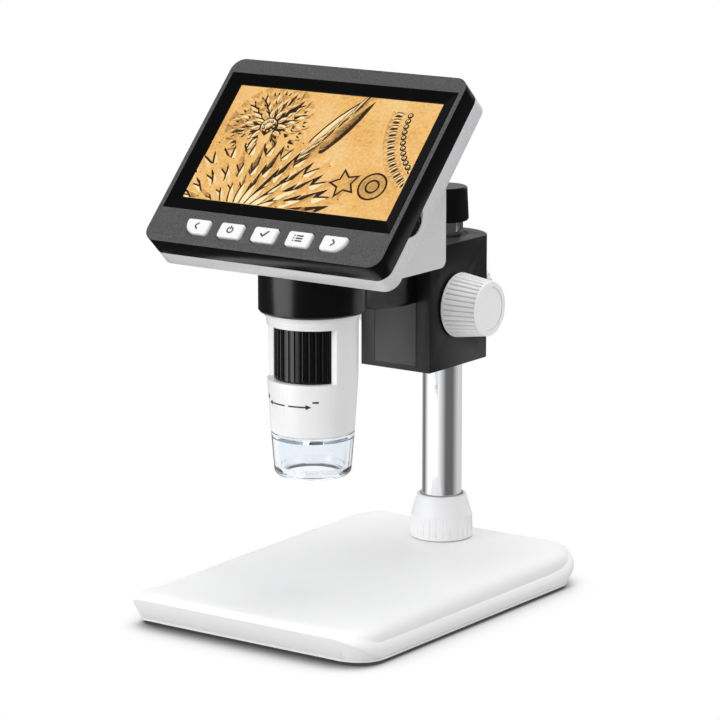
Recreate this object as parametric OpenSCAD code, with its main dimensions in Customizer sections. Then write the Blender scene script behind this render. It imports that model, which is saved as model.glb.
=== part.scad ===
// Digital microscope with a tilted screen, on a pole stand with a height drive.
// Millimetres, +Z up, +X to the right of someone facing the screen, -Y towards them.
// The origin is the centre of the base's footprint, on the table.

/* [Base] */
// Width of the base over its lower lip
base_w = 110; // [100:1:130]
// Depth of the base over its front and back noses
base_d = 156; // [148:1:180]
// Height of the base's top above the table, under the pole
base_h = 15.8; // [14.6:0.2:20]
// Radius of the base's corners in plan
base_r = 11; // [8:0.5:16]
// Wall of the base's top shell
base_wall = 2.5; // [2:0.1:3]
// Height of the base's lower lip above the cover's edge
lip_h = 5.5; // [4:0.1:6]
// How far the lip stands out from the shell above it
lip_step = 1.4; // [0.8:0.1:2]
// Width of the roll along both sides of the shell
side_roll = 11.6; // [8:0.1:14]
// How much lower the top is at the front
front_drop = 1.9; // [0:0.1:2.2]
// How far the front face leans back from its nose to the underside
front_lean = 4.9; // [3:0.1:6]
// Depth of the bevel above the nose, at the front and back
nose_bevel = 1.8; // [1:0.1:3]
// Visible edge of the bottom cover
cover_edge = 1.0; // [0.8:0.1:1.4]
// Thickness of the bottom cover's raised inner part
cover_t = 1.5; // [1.2:0.1:2]
// Width of the ballast plate
ballast_w = 81; // [60:1:81]
// Depth of the ballast plate
ballast_d = 118; // [100:1:120]
// Distance from the pole's axis to the ballast plate's back edge
ballast_back = 9.7; // [6:0.1:12]
// Thickness of the ballast plate
ballast_t = 3; // [2:0.1:3.6]
// Height of the rubber feet below the cover
foot_h = 1.5; // [1:0.1:2.5]
// Radius of the rubber feet
foot_r = 6; // [4:0.5:8]

/* [Pole] */
// Outer radius of the pole
pole_r = 8; // [7.4:0.1:8.4]
// Wall of the pole
pole_wall = 1.2; // [1:0.1:2]
// Length of the pole
pole_l = 147.4; // [142:0.2:170]
// Distance of the pole's axis from the back of the base
pole_inset = 21.7; // [20:0.1:26]
// Depth of the cap over the pole's top, with its lid
cap_h = 13.6; // [12:0.2:18]
// Radius of the cap at its top
cap_r_top = 9.7; // [9.2:0.1:11]
// Radius of the cap at its lower edge
cap_r_low = 10.3; // [9.6:0.1:12]
// Height of the clamping collar
collar_h = 17.7; // [17:0.1:22]
// Radius of the collar at its foot
collar_r = 12.7; // [12.4:0.1:14]
// Radius of the collar at its top
collar_r_top = 10.1; // [9.6:0.1:11]
// Radius of the socket's thread under the collar
socket_r = 10.8; // [10.4:0.1:11]
// Height of the socket above the base
socket_h = 7.7; // [6:0.1:8.4]

/* [Bracket] */
// Height of the bracket's underside above the table, at rest
block_z = 90.8; // [84:0.2:92]
// Width of the bracket
block_w = 33; // [32:0.2:38]
// Height of the bracket
block_h = 49.6; // [46:0.2:50]
// Distance from the pole's axis to the bracket's front face
block_front = 33.1; // [32.4:0.1:36]
// Radius of the bracket's bulging back
block_back_r = 18.5; // [17.6:0.1:20]
// Opening between the two rails of the T-slot
slot_w = 20; // [18:0.2:22]
// Width of the T-slot behind the rails
slot_wide = 25.2; // [23.6:0.2:26.4]
// Thickness of the T-slot's rails
rail_t = 3; // [2.4:0.1:3.6]
// Depth of the T-slot behind the rails
slot_t = 3.8; // [3:0.1:4.2]
// Thickness of the stop under the T-slot
stop_h = 2; // [1.6:0.1:4]
// Outer radius of the two bearing sleeves round the pole
bush_r = 10.2; // [9.6:0.1:10.6]
// Height of each bearing sleeve
bush_h = 8; // [6:0.2:10]

/* [Height drive] */
// Radius of the roller that runs on the pole
roller_r = 6.05; // [5.6:0.05:6.3]
// Width of the roller
roller_w = 11; // [8:0.5:12]
// Radius of the drive shaft
shaft_r = 2.5; // [2:0.1:3]
// Outer radius of the shaft's bushes
shaft_bush_r = 4; // [3.6:0.1:4.6]
// Length of each knob
knob_l = 15.2; // [13:0.2:20]
// Radius of each knob next to the bracket
knob_r_in = 13; // [12:0.1:15]
// Radius of each knob at its free end
knob_r_out = 10.9; // [10:0.1:12]
// Number of grooves round each knob
knob_grooves = 36; // [24:2:40]
// Depth of those grooves
groove_d = 0.5; // [0.3:0.05:0.7]
// Radius of the lock knob behind the bracket
lock_r = 11.4; // [9:0.1:12]
// Length of the lock knob
lock_l = 4.3; // [3.4:0.1:4.4]
// Number of grooves round the lock knob
lock_grooves = 32; // [20:2:36]
// Radius of the brake pad and of the lock knob's stem
brake_r = 3; // [2.4:0.1:3.6]

/* [Screen housing] */
// Slope of the screen from the horizontal, in degrees
tilt = 46.4; // [44:0.2:49]
// Width of the display's active area
screen_w = 95.04; // [90:0.02:97]
// Height of the display's active area
screen_h = 53.86; // [50:0.02:55]
// Height of the screen's centre above the underside of the housing
screen_rise = 40.4; // [39:0.1:43]
// Width of the housing
case_w = 110; // [108.4:0.2:116]
// Housing above the display's upper edge, along the slope
case_top = 11.27; // [10.6:0.01:17]
// Housing below the display's lower edge, along the slope
case_low = 21.87; // [21.2:0.01:27]
// Corner radius of the housing
case_r = 5.5; // [4:0.1:7]
// Height of the front face above the display's glass
face_h = 1.9; // [1.6:0.1:2.6]
// Depth of the seam below the display's glass
seam_n = 6.8; // [6.4:0.1:7.4]
// Depth of the rear cover's back below the display's glass
case_n = 15.3; // [15:0.1:18]
// Wall of the bezel and of the rear cover
case_wall = 1.7; // [1.4:0.1:2]
// Chamfer along the back edge of the rear cover
case_edge = 1.6; // [0.8:0.1:2]
// Width of the screen surround's slope at the left and right
surround_side = 5.4; // [4.6:0.1:5.4]
// Width of the screen surround's slope at the top
surround_top = 4.5; // [3.6:0.1:4.7]
// Width of the screen surround's slope at the bottom
surround_low = 6.3; // [5:0.1:6.8]
// Width of the wedge on the back of the housing
wedge_w = 107; // [104:0.2:109]
// Distance from the tube's axis to the back of the wedge
wedge_d = 11.5; // [11:0.1:14]
// Radius of the wedge's lower back edge
wedge_r = 3; // [1:0.1:4]

/* [Keys and dial] */
// Width of a key
key_w = 11; // [9:0.1:12]
// Height of a key, along the slope
key_h = 6.6; // [5.6:0.1:7]
// Distance between the centres of two keys
key_pitch = 15.9; // [15:0.1:16.2]
// Distance of the keys' centres below the screen's lower edge
key_drop = 13.9; // [13.6:0.1:14.4]
// How far a key stands out of the front face
key_out = 1.3; // [1:0.1:2]
// Travel of a key
key_travel = 0.8; // [0.5:0.05:0.9]
// Large radius on the outer lower corner of the two end keys
key_big_r = 5; // [2:0.1:5.2]
// Radius of the brightness dial
dial_r = 9; // [8:0.1:10]
// Thickness of the brightness dial
dial_t = 2.8; // [2.2:0.1:3]
// Distance of the dial's axis below the screen's centre
dial_drop = 22.3; // [20:0.1:24]

/* [Neck and tube] */
// Height of the neck's lower edge above the bracket's underside
neck_lift = 32.5; // [30:0.1:34]
// Outer radius of the neck
neck_r = 20.8; // [20:0.1:22.4]
// Height of the neck
neck_h = 20.6; // [19:0.1:24]
// Thickness of the neck's roof, under the housing
neck_roof = 5.8; // [5:0.1:7]
// Distance between the tube's axis and the pole's axis
throat = 88.1; // [86:0.1:94]
// Height of the arm's underside above the bracket's underside, at the tail
arm_lift = 27.7; // [25:0.1:30]
// Outer radius of the tube's collar, just under the neck
tube_r_top = 18.4; // [18:0.1:18.8]
// Outer radius of the tube below its collar
tube_r_body = 17.65; // [17.2:0.05:17.9]
// Outer radius of the tube at the finger window's lower edge
tube_r_mid = 17.5; // [17.1:0.05:17.8]
// Outer radius of the tube at its lower end
tube_r_low = 16.15; // [15.9:0.05:16.8]
// Length of the tube below the neck
tube_l = 47; // [46:0.2:52]
// Bore of the tube round the focus wheel
tube_bore = 15.2; // [15:0.05:15.8]
// Bore of the tube below the focus wheel
tube_low_bore = 14.2; // [13.8:0.1:14.4]
// Height of the finger window's lower edge above the tube's end
window_lift = 20.9; // [20:0.1:22]
// Height of the finger window
window_h = 21.2; // [18:0.1:21.6]
// Distance of the finger window's flat from the tube's axis
window_flat = 6.6; // [5:0.1:9]
// Length of the clear tip below the tube
tip_l = 17; // [15:0.2:20]
// Wall of the clear tip
tip_wall = 2.1; // [1.8:0.1:2.4]

/* [Optics] */
// Outer radius of the guide tube
guide_r = 11; // [10.6:0.1:11.4]
// Radius of the lens barrel
barrel_r = 8.98; // [8.6:0.02:9.4]
// Length of the lens barrel
barrel_l = 38; // [34:0.5:40]
// Travel of the lens barrel each way
barrel_travel = 2.5; // [1.5:0.1:2.6]
// Radius of the light's way through the neck and the housing
light_r = 7; // [5:0.1:8]
// Number of lamps in the light ring
lamp_count = 8; // [6:1:10]
// Radius of the circle that the lamps stand on
lamp_circle = 10.6; // [10:0.1:10.8]

/* [Fits] */
// Radial clearance of a part that turns or slides
run_fit = 0.06; // [0.02:0.01:0.1]
// Gap between faces that only rest on each other
seat = 0.05; // [0.02:0.01:0.1]
// Gap round covers, keys and other parts that must not rub
gap = 0.3; // [0.2:0.05:0.4]
// Clearance of the tail in its T-slot
slide_fit = 0.12; // [0.08:0.01:0.2]

/* [Hidden] */
$fn = 64;
cut = 1;                       // how far a cutter reaches past the face it opens
root = 0.4;                    // how far a post reaches into the wall that carries it

// Places in plan
pole_y = base_d / 2 - pole_inset;
tube_y = pole_y - throat;

// Levels of the base
cover_z = foot_h;
shell_z = cover_z + cover_edge;
cover_top = shell_z + cover_t;
lip_z = shell_z + lip_h;
roof_z = base_h - base_wall;
ballast_z = cover_top + seat;
nose_z = base_h - 3.45;        // nose along the back
front_nose_z = nose_z - front_drop * 0.55;
drop_y = 40;                   // the top is level behind this line
base_margin_x = 6;             // solid rim between the cavity and the lip
base_margin_y = 8;             // solid rim between the cavity and the noses
cavity_r = 9;
boss_r = 3.4;
pilot_r = 1.35;
screw_r = 1.3;
screw_head_r = 2.6;
screw_head_h = 1.1;
boss_inset = 4.5;              // boss axes inside the cavity's side walls
foot_sink = 0.5;
foot_inset = [21, 23];         // foot centres from the base's edges

// Pole and what clamps it
socket_floor = 1.9;
socket_body_r = socket_r + 1.7;
socket_z = ballast_z + ballast_t + seat;
pole_z = socket_z + socket_floor + seat;
pole_top = pole_z + pole_l;
pole_bore = pole_r - pole_wall;
plug_h = 12;
bolt_r = 2.5;
bolt_head_r = 4.5;
bolt_head_h = 2.2;
collar_z = base_h + gap;
collar_top = collar_z + collar_h;
socket_top = base_h + socket_h;
cap_z = pole_top + 3.3 - cap_h;
collet_z = socket_top + 0.2;
collet_h = 7;
collet_low_r = socket_r - 0.5;
collet_top_r = pole_r + 0.75;

// Bracket and height drive
block_top = block_z + block_h;
block_y = pole_y - block_front;
block_mid = block_z + block_h / 2;
block_back_y = pole_y - 1.6;   // centre of the bulging back
block_back = block_back_y + block_back_r;
bore_r = pole_r + 0.6;
roller_gap = 0.05;
shaft_y = pole_y - pole_r - roller_r - roller_gap;
shaft_z = block_mid;
pocket_gap = 0.9;
bush_flange_h = 0.4;
knob_x = block_w / 2 + 0.6;
shaft_end = knob_x + knob_l - 6;
disc_r = knob_r_out - 2.3;
disc_h = 0.8;
disc_sink = 1.1;
block_chamfer = 0.8;

// Levels and planes of the head
neck_z = block_z + neck_lift;
neck_top = neck_z + neck_h;
case_z = neck_top + seat;      // underside of the housing's wedge
screen_z = case_z + screen_rise;
roof_low = neck_top - neck_roof;
arm_z = block_z + arm_lift;
tail_z = block_z + stop_h + seat;
tail_top = neck_top - 0.9;
tail_w = slot_w - 2 * slide_fit;
tail_wide = slot_wide - 2 * slide_fit;
plate_t = case_wall;           // the bezel's front plate reaches down to the glass
window_w = screen_w + 2 * surround_side;
window_up = screen_h / 2 + surround_top;
window_down = screen_h / 2 + surround_low;
case_up = screen_h / 2 + case_top;
case_down = screen_h / 2 + case_low;
key_u = -(screen_h / 2 + key_drop);
key_fillet = 1.2;
key_flange = 0.9;              // how far a key's flange reaches under the face
key_flange_t = 0.6;
stem_r = 1.5;
stem_n = 1.3;
switch_n = stem_n + key_travel + 0.05;
switch_body_n = switch_n + 0.4;
key_board_n = switch_body_n + 1.1;
key_board_t = 1.2;
key_board_post = 41;           // posts that carry the keys' board, from the middle
key_board_h = 9.6;
key_board_end = 2.2;           // board beyond the posts' axes
switch_w = 4.4;
tray_t = 3;
tray_w = screen_w + 10.2;
tray_up = screen_h / 2 + 4;
tray_down = screen_h / 2 + 8.8;
glass_t = 1.1;
pad_t = 1.1;
pad_w = 16;
pad_h = 5;
pad_x = 36;
pad_up = 18;
pad_down = 20;
battery_w = 58;
battery_h = 34;
battery_u = 8;
battery_gap = 2.2;             // room between the battery and the main board
board_t = 1.3;
board_pilot_r = 1;
board_n = tray_t + pad_t + board_t + 2 * seat;
board_w = case_w - 8;
board_up = 27.6;
board_down = 30;
board_screw_up = board_up - 3;
board_screw_down = board_down - 3;
case_screw_x = case_w / 2 - 6;
case_screw_up = case_up - 4;
case_screw_down = case_down - 3.2;
case_boss_r = 2.4;
cover_boss_r = 3.4;
head_sink = 3;                 // depth of the screw heads' pockets
dial_x = case_w / 2 - 0.1 - dial_r;
dial_n = seam_n + gap;
dial_notch_r = 8;
dial_notch_n = 2.2;
port_x = case_w / 2 - 0.2;
usb_u = 11.8;
usb_w = 7.7;
usb_t = 3.9;
card_u = -7.5;
card_w = 13.4;
card_t = 1.9;

// Levels of the tube and optics
tube_z = neck_z - tube_l;
tube_top = roof_low - seat;
window_z = tube_z + window_lift;
ring_z = neck_z - 1.6;
wheel_z = window_z + gap;
wheel_h = window_h + 1.1;
wheel_r = tube_bore - gap;
wheel_mid = wheel_z + wheel_h / 2;
guide_bore = barrel_r + run_fit;
guide_flange_z = wheel_z + wheel_h + gap;
guide_z = tube_z + 8;
pin_r = 1.5;
pin_end = guide_r + 1.6;
groove_r = pin_end + 0.4;
pin_room = pin_r + barrel_travel + 0.3;
barrel_z = wheel_mid - barrel_l / 2 - 1.2;
lens_r = 7.9;
lens_t = 3.2;
lens_curve = 28;               // radius of the lens faces
lens_seat = 4.2;
tip_z = tube_z - tip_l;
tip_r = tube_r_low - 0.05;
tip_spigot_r = tube_low_bore - 0.1;
tip_spigot_h = 3.6;
tip_mouth_r = 11;
lamp_board_z = tube_z + tip_spigot_h + 0.3;
lamp_board_t = 1.2;
lamp_r = 1.5;
lamp_h = 3;
sensor_w = 16;
sensor_t = 1.2;
holder_h = 3.1;
sensor_z = case_z + case_wall + holder_h + 2 * seat;

// ---------- shapes that several parts share ----------

// points along an arc, as a list
function arc(cx, cy, r, a, b, n = 8) =
    [for (i = [0:n]) [cx + r * cos(a + (b - a) * i / n), cy + r * sin(a + (b - a) * i / n)]];

// rectangle with round corners, centred
module round_rect(w, d, r) {
    square([w - 2 * r, d], center = true);
    square([w, d - 2 * r], center = true);
    for (x = [-1, 1], y = [-1, 1])
        translate([x * (w / 2 - r), y * (d / 2 - r)]) circle(r);
}

module ring(r_out, r_in, z0, z1) {
    difference() {
        translate([0, 0, z0]) cylinder(r = r_out, h = z1 - z0);
        translate([0, 0, z0 - cut]) cylinder(r = r_in, h = z1 - z0 + 2 * cut);
    }
}

// a block between two corners
module span(low, high) {
    translate(low) cube(high - low);
}

module at_pole() { translate([0, pole_y, 0]) children(); }
module at_tube() { translate([0, tube_y, 0]) children(); }

// X right, Y up the screen, Z out of the screen, from the screen's centre
module at_screen() {
    translate([0, tube_y, screen_z]) rotate([tilt, 0, 0]) children();
}

// extrudes a (y, z) outline along X, centred
module along_x(w) {
    rotate([90, 0, 90]) translate([0, 0, -w / 2]) linear_extrude(w) children();
}

// ---------- base ----------

// how far the leaning face under a nose reaches, at a height
function lean_y(z, nose = nose_z) =
    base_d / 2 - front_lean * (nose - z) / (nose - foot_h);

// how far the top has come down at a line across the base
function top_drop(y) =
    front_drop * pow(max(0, drop_y - y) / (drop_y + base_d / 2), 1.6);

module base_side_outline() {
    y0 = base_d / 2;
    y1 = y0 - nose_bevel;
    low = top_drop(-y1);
    polygon(concat(
        [[lean_y(shell_z), shell_z], [y0, nose_z], [y0 - 0.25, nose_z + 0.5],
         [y1, base_h - 0.6], [y1 - 1.2, base_h - 0.25], [y1 - 4, base_h]],
        [for (i = [0:5]) let (y = drop_y - i * (drop_y + y1 - 5) / 5) [y, base_h - top_drop(y)]],
        [[-y1 + 1.2, base_h - 0.25 - low], [-y1, base_h - 0.6 - low],
         [-y0 + 0.2, front_nose_z + 0.4], [-y0, front_nose_z],
         [-lean_y(shell_z, front_nose_z), shell_z]]));
}

module base_front_outline() {
    x0 = base_w / 2;
    x1 = x0 - lip_step;
    roll_z = lip_z + 0.2;
    half = concat(
        [[x0 - 0.1, shell_z], [x0, shell_z + 1.2], [x0 - 0.1, lip_z - 2.8],
         [x0 - 0.5, lip_z - 1.2], [x1 + 0.05, lip_z]],
        [for (a = [0:9:90]) [x1 - side_roll * (1 - pow(cos(a), 0.6)),
                             roll_z + (base_h - roll_z) * sin(a)]]);
    polygon(concat(half, [for (i = [len(half) - 1:-1:0]) [-half[i][0], half[i][1]]]));
}

module base_boss_places() {
    bx = base_w / 2 - base_margin_x - boss_inset;
    by = base_d / 2 - base_margin_y - boss_inset;
    for (x = [-bx, bx], y = [-by, 0, by]) translate([x, y, 0]) children();
}

module base_shell() {
    color("white") {
        difference() {
            intersection() {
                translate([0, 0, shell_z])
                    linear_extrude(base_h - shell_z) round_rect(base_w, base_d, base_r);
                along_x(base_w + 2 * cut) base_side_outline();
                rotate([90, 0, 0]) translate([0, 0, -base_d / 2 - cut])
                    linear_extrude(base_d + 2 * cut) base_front_outline();
            }
            // cavity, whose roof comes down with the top
            intersection() {
                translate([0, 0, shell_z - cut]) linear_extrude(roof_z - shell_z + cut)
                    round_rect(base_w - 2 * base_margin_x, base_d - 2 * base_margin_y, cavity_r);
                along_x(base_w) polygon([[-base_d / 2, 0], [base_d / 2, 0],
                    [base_d / 2, roof_z], [drop_y, roof_z], [-base_d / 2, roof_z - front_drop]]);
            }
            at_pole() translate([0, 0, roof_z - cut])
                cylinder(r = socket_r + 0.1, h = base_wall + 2 * cut);
        }
        base_boss_places() difference() {
            translate([0, 0, cover_top + seat])
                cylinder(r = boss_r, h = roof_z - cover_top - seat + root);
            translate([0, 0, cover_top])
                cylinder(r = pilot_r, h = roof_z - cover_top - 1.5);
        }
    }
}

module base_cover() {
    color("whitesmoke") difference() {
        union() {
            translate([0, 0, cover_z]) linear_extrude(cover_edge - seat)
                round_rect(base_w - 0.6, 2 * lean_y(cover_z), base_r + 2);
            translate([0, 0, cover_z]) linear_extrude(cover_top - cover_z)
                round_rect(base_w - 2 * (base_margin_x + gap),
                           base_d - 2 * (base_margin_y + gap), cavity_r - gap);
        }
        base_boss_places() {
            translate([0, 0, cover_z - cut]) cylinder(r = screw_r + 0.2, h = cover_top);
            translate([0, 0, cover_z - cut])
                cylinder(r = screw_head_r + 0.2, h = screw_head_h + 0.2 + cut);
        }
        foot_places() translate([0, 0, cover_z - cut])
            cylinder(r = foot_r + 0.1, h = foot_sink + cut);
        at_pole() translate([0, 0, cover_z - cut])
            cylinder(r = bolt_head_r + 1, h = cover_top);
    }
}

module ballast_plate() {
    color("slategray") difference() {
        translate([0, pole_y + ballast_back - ballast_d / 2, ballast_z])
            linear_extrude(ballast_t) round_rect(ballast_w, ballast_d, 6);
        base_boss_places() translate([0, 0, ballast_z - cut])
            cylinder(r = boss_r + gap, h = ballast_t + 2 * cut);
        at_pole() translate([0, 0, ballast_z - cut])
            cylinder(r = bolt_r + 0.2, h = ballast_t + 2 * cut);
    }
}

module foot_places() {
    for (x = [-1, 1], y = [-1, 1])
        translate([x * (base_w / 2 - foot_inset[0]), y * (base_d / 2 - foot_inset[1]), 0])
            children();
}

module base_feet() {
    color("dimgray") foot_places() {
        cylinder(r1 = foot_r - 0.4, r2 = foot_r, h = 0.5);
        translate([0, 0, 0.5]) cylinder(r = foot_r, h = foot_h + foot_sink - seat - 0.5);
    }
}

module base_screws() {
    color("silver") base_boss_places() {
        z = cover_z + screw_head_h + 0.15;
        difference() {
            translate([0, 0, z - screw_head_h]) cylinder(r = screw_head_r, h = screw_head_h);
            for (a = [0, 90]) translate([0, 0, z - screw_head_h]) rotate(a)
                cube([3.2, 0.7, 1], center = true);
        }
        translate([0, 0, z]) cylinder(r = screw_r, h = roof_z - 3 - z);
    }
}

// ---------- pole ----------

module pole_socket() {
    color("gainsboro") at_pole() difference() {
        union() {
            translate([0, 0, socket_z])
                cylinder(r = socket_body_r, h = roof_z - seat - socket_z);
            translate([0, 0, socket_z]) cylinder(r = socket_r, h = socket_top - socket_z);
        }
        translate([0, 0, socket_z + socket_floor])
            cylinder(r = pole_r + 0.05, h = socket_top);
        translate([0, 0, socket_z - cut]) cylinder(r = bolt_r + 0.2, h = socket_floor + 2 * cut);
    }
}

module pole() {
    color("lightgray") at_pole() ring(pole_r, pole_bore, pole_z, pole_top);
}

module pole_plug() {
    color("darkgray") at_pole()
        ring(pole_bore - 0.02, bolt_r + 0.02, pole_z, pole_z + plug_h);
}

module pole_bolt() {
    color("gray") at_pole() {
        difference() {
            translate([0, 0, ballast_z - seat - bolt_head_h])
                cylinder(r = bolt_head_r, h = bolt_head_h);
            translate([0, 0, ballast_z - seat - bolt_head_h - cut])
                cylinder(r = 2.3, h = 1.4 + cut, $fn = 6);
        }
        translate([0, 0, ballast_z - seat])
            cylinder(r = bolt_r, h = pole_z + plug_h - 2 - ballast_z + seat);
    }
}

module collet() {
    color("ivory") at_pole() difference() {
        translate([0, 0, collet_z])
            cylinder(r1 = collet_low_r, r2 = collet_top_r, h = collet_h);
        translate([0, 0, collet_z - cut]) cylinder(r = pole_r + 0.03, h = collet_h + 2 * cut);
        span([-0.6, 0, collet_z - cut], [0.6, collet_low_r + cut, collet_z + collet_h + cut]);
    }
}

module pole_cap() {
    lid = cap_z + cap_h;
    color([0.1, 0.1, 0.1]) at_pole() {
        difference() {
            rotate_extrude() polygon(concat(
                [[0, cap_z], [cap_r_low - 0.5, cap_z], [cap_r_low, cap_z + 0.6]],
                arc(cap_r_top - 0.9, lid - 0.9, 0.9, 5, 90, 5), [[0, lid]]));
            translate([0, 0, cap_z - cut])
                cylinder(r = pole_r + 0.05, h = pole_top + seat - cap_z + cut);
        }
        translate([0, 0, pole_top - 8]) cylinder(r = pole_bore - 0.05, h = 8 + 2 * seat);
    }
}

module base_collar() {
    z1 = collar_top;
    rib_top = collar_z + 9;
    color("white") at_pole() difference() {
        rotate_extrude() polygon(concat(
            [[collar_r - 0.4, collar_z], [collar_r, collar_z + 0.5],
             [collar_r - 0.3, rib_top], [collar_r - 0.7, rib_top + 1.2]],
            arc(collar_r_top - 0.8, z1 - 0.8, 0.8, 15, 90, 4),
            [[pole_r + 0.9, z1], [pole_r + 0.35, z1 - 0.8],
             [pole_r + 0.35, collet_z + collet_h + 0.4],
             [collet_top_r + 0.3, collet_z + collet_h + 0.4],
             [collet_low_r + 0.3, collet_z],
             [socket_r + run_fit, collet_z - 0.1], [socket_r + run_fit, collar_z]]));
        for (i = [0:27]) rotate(i * 360 / 28)
            translate([collar_r + 0.1, 0, collar_z + 1.2]) cylinder(r = 0.55, h = 8, $fn = 16);
    }
}

// ---------- bracket ----------

module block_outline() {
    intersection() {
        union() {
            translate([-block_w / 2, block_y]) square([block_w, block_back_y - block_y]);
            translate([0, block_back_y]) circle(block_back_r);
        }
        translate([-block_w / 2, block_y])
            square([block_w, block_back_y + block_back_r - block_y]);
    }
}

module block_body() {
    slot_y = block_y + rail_t;
    room = roller_r + pocket_gap;
    color([0.13, 0.13, 0.14]) difference() {
        translate([0, 0, block_z]) linear_extrude(block_h) block_outline();
        // T-slot, open at the top
        span([-slot_w / 2, block_y - cut, block_z + stop_h],
             [slot_w / 2, slot_y + cut, block_top + cut]);
        span([-slot_wide / 2, slot_y, block_z + stop_h],
             [slot_wide / 2, slot_y + slot_t, block_top + cut]);
        // pole bore with the seats of the bearing sleeves
        at_pole() {
            translate([0, 0, block_z - cut]) cylinder(r = bore_r, h = block_h + 2 * cut);
            translate([0, 0, block_z - cut]) cylinder(r = bush_r + 0.02, h = bush_h + cut);
            translate([0, 0, block_top - bush_h])
                cylinder(r = bush_r + 0.02, h = bush_h + cut);
        }
        // roller pocket between the slot and the bore
        span([-roller_w / 2 - 1, slot_y + slot_t - cut, shaft_z - room],
             [roller_w / 2 + 1, pole_y, shaft_z + room]);
        // shaft and its bushes
        translate([-block_w, shaft_y, shaft_z]) rotate([0, 90, 0])
            cylinder(r = shaft_bush_r + 0.02, h = 2 * block_w);
        // brake pad's hole through the back
        translate([0, pole_y, block_mid]) rotate([-90, 0, 0])
            cylinder(r = brake_r + 0.02, h = block_back_r + 4);
    }
}

module slide_bushes() {
    color([0.08, 0.08, 0.08]) at_pole() {
        ring(bush_r, pole_r + run_fit, block_z + 0.2, block_z + bush_h - seat);
        ring(bush_r, pole_r + run_fit, block_top - bush_h + seat, block_top - 0.2);
    }
}

module shaft_bushes() {
    inner = roller_w / 2 + 1 + 0.2;
    color("peru") for (s = [-1, 1]) translate([0, shaft_y, shaft_z]) rotate([0, s * 90, 0]) {
        ring(shaft_bush_r, shaft_r + run_fit, inner, block_w / 2 + seat);
        ring(shaft_bush_r + 1, shaft_r + run_fit,
             block_w / 2 + seat, block_w / 2 + seat + bush_flange_h);
    }
}

module brake_pad() {
    color("ivory") difference() {
        translate([0, pole_y, block_mid]) rotate([-90, 0, 0])
            cylinder(r = brake_r - 0.03, h = pole_r + 3.2);
        at_pole() translate([0, 0, block_mid - 2 * brake_r])
            cylinder(r = pole_r + 0.05, h = 4 * brake_r);
    }
}

// knob and stem that press the brake pad on the pole
module lock_knob() {
    start = pole_r + 3.2 + seat;
    front = block_back + gap - pole_y;
    end = front + lock_l;
    stem = brake_r + 0.02 - run_fit;
    out = lock_r - 0.8;
    color("white") translate([0, pole_y, block_mid]) rotate([-90, 0, 0]) difference() {
        rotate_extrude() polygon(concat(
            [[0, start], [stem, start], [stem, front], [lock_r - 0.6, front],
             [lock_r, front + 0.6], [out + 0.15, end - 0.9]],
            arc(out - 0.8, end - 0.8, 0.8, 10, 90, 4),
            [[out - 1.8, end], [out - 2.2, end - disc_sink], [0, end - disc_sink]]));
        for (i = [0:lock_grooves - 1]) rotate(i * 360 / lock_grooves)
            translate([lock_r - groove_d + 0.55, 0, front + 0.9])
                rotate([0, -atan(0.8 / lock_l), 0]) cylinder(r = 0.55, h = lock_l - 2, $fn = 12);
    }
}

// ---------- height drive ----------

module drive_shaft() {
    color("silver") translate([-shaft_end, shaft_y, shaft_z]) rotate([0, 90, 0])
        cylinder(r = shaft_r, h = 2 * shaft_end);
}

module drive_roller() {
    color([0.15, 0.15, 0.15]) translate([0, shaft_y, shaft_z]) rotate([0, 90, 0])
        difference() {
            ring(roller_r, shaft_r + 0.02, -roller_w / 2, roller_w / 2);
            for (z = [-2.6, 0, 2.6]) translate([0, 0, z * roller_w / 11])
                ring(roller_r + cut, roller_r - 0.5, -0.35, 0.35);
        }
}

// a knob, lying on +X from the bracket's side
module knob() {
    slope = atan((knob_r_in - knob_r_out) / knob_l);
    translate([knob_x, shaft_y, shaft_z]) rotate([0, 90, 0]) difference() {
        rotate_extrude() polygon(concat(
            [[0, 0], [knob_r_in - 0.9, 0], [knob_r_in, 0.9],
             [knob_r_out + 0.15, knob_l - 1.2]],
            arc(knob_r_out - 0.9, knob_l - 0.9, 0.9, 10, 90, 4),
            [[disc_r + 0.5, knob_l], [disc_r + 0.1, knob_l - disc_sink],
             [0, knob_l - disc_sink]]));
        translate([0, 0, -cut]) cylinder(r = shaft_r + 0.02, h = knob_l - 6 + cut + seat);
        for (i = [0:knob_grooves - 1]) rotate(i * 360 / knob_grooves)
            translate([knob_r_in - groove_d + 0.42, 0, 1.6]) rotate([0, -slope, 0])
                cylinder(r = 0.55, h = knob_l - 4.4, $fn = 12);
    }
}

module knob_right() { color("white") knob(); }
module knob_left() { color("white") mirror([1, 0, 0]) knob(); }

module knob_discs() {
    x = knob_x + knob_l - disc_sink + seat;
    color("gainsboro") for (s = [-1, 1]) translate([s * x, shaft_y, shaft_z])
        rotate([0, s * 90, 0]) cylinder(r = disc_r, h = disc_h);
}

// ---------- screen housing ----------

module case_plan(inset) {
    translate([0, (case_up - case_down) / 2])
        round_rect(case_w - 2 * inset, case_up + case_down - 2 * inset, case_r - inset);
}

module case_screw_places() {
    for (x = [-case_screw_x, case_screw_x], u = [case_screw_up, -case_screw_down])
        translate([x, u, 0]) children();
}

// key outline: -1 and 1 give the end keys their big outer lower corner
module key_outline(side, grow) {
    w = key_w + 2 * grow;
    h = key_h + 2 * grow;
    big = key_big_r + grow;
    r = key_fillet + grow;
    if (side == 0) round_rect(w, h, r);
    else mirror([side < 0 ? 1 : 0, 0]) difference() {
        round_rect(w, h, r);
        translate([w / 2 - big, -h / 2]) difference() {
            translate([0, -cut]) square([big + cut, big + cut]);
            translate([0, big]) circle(big);
        }
    }
}

module at_key(i) { translate([(i - 2) * key_pitch, key_u, 0]) children(); }
function key_side(i) = i == 0 ? -1 : i == 4 ? 1 : 0;

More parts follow.
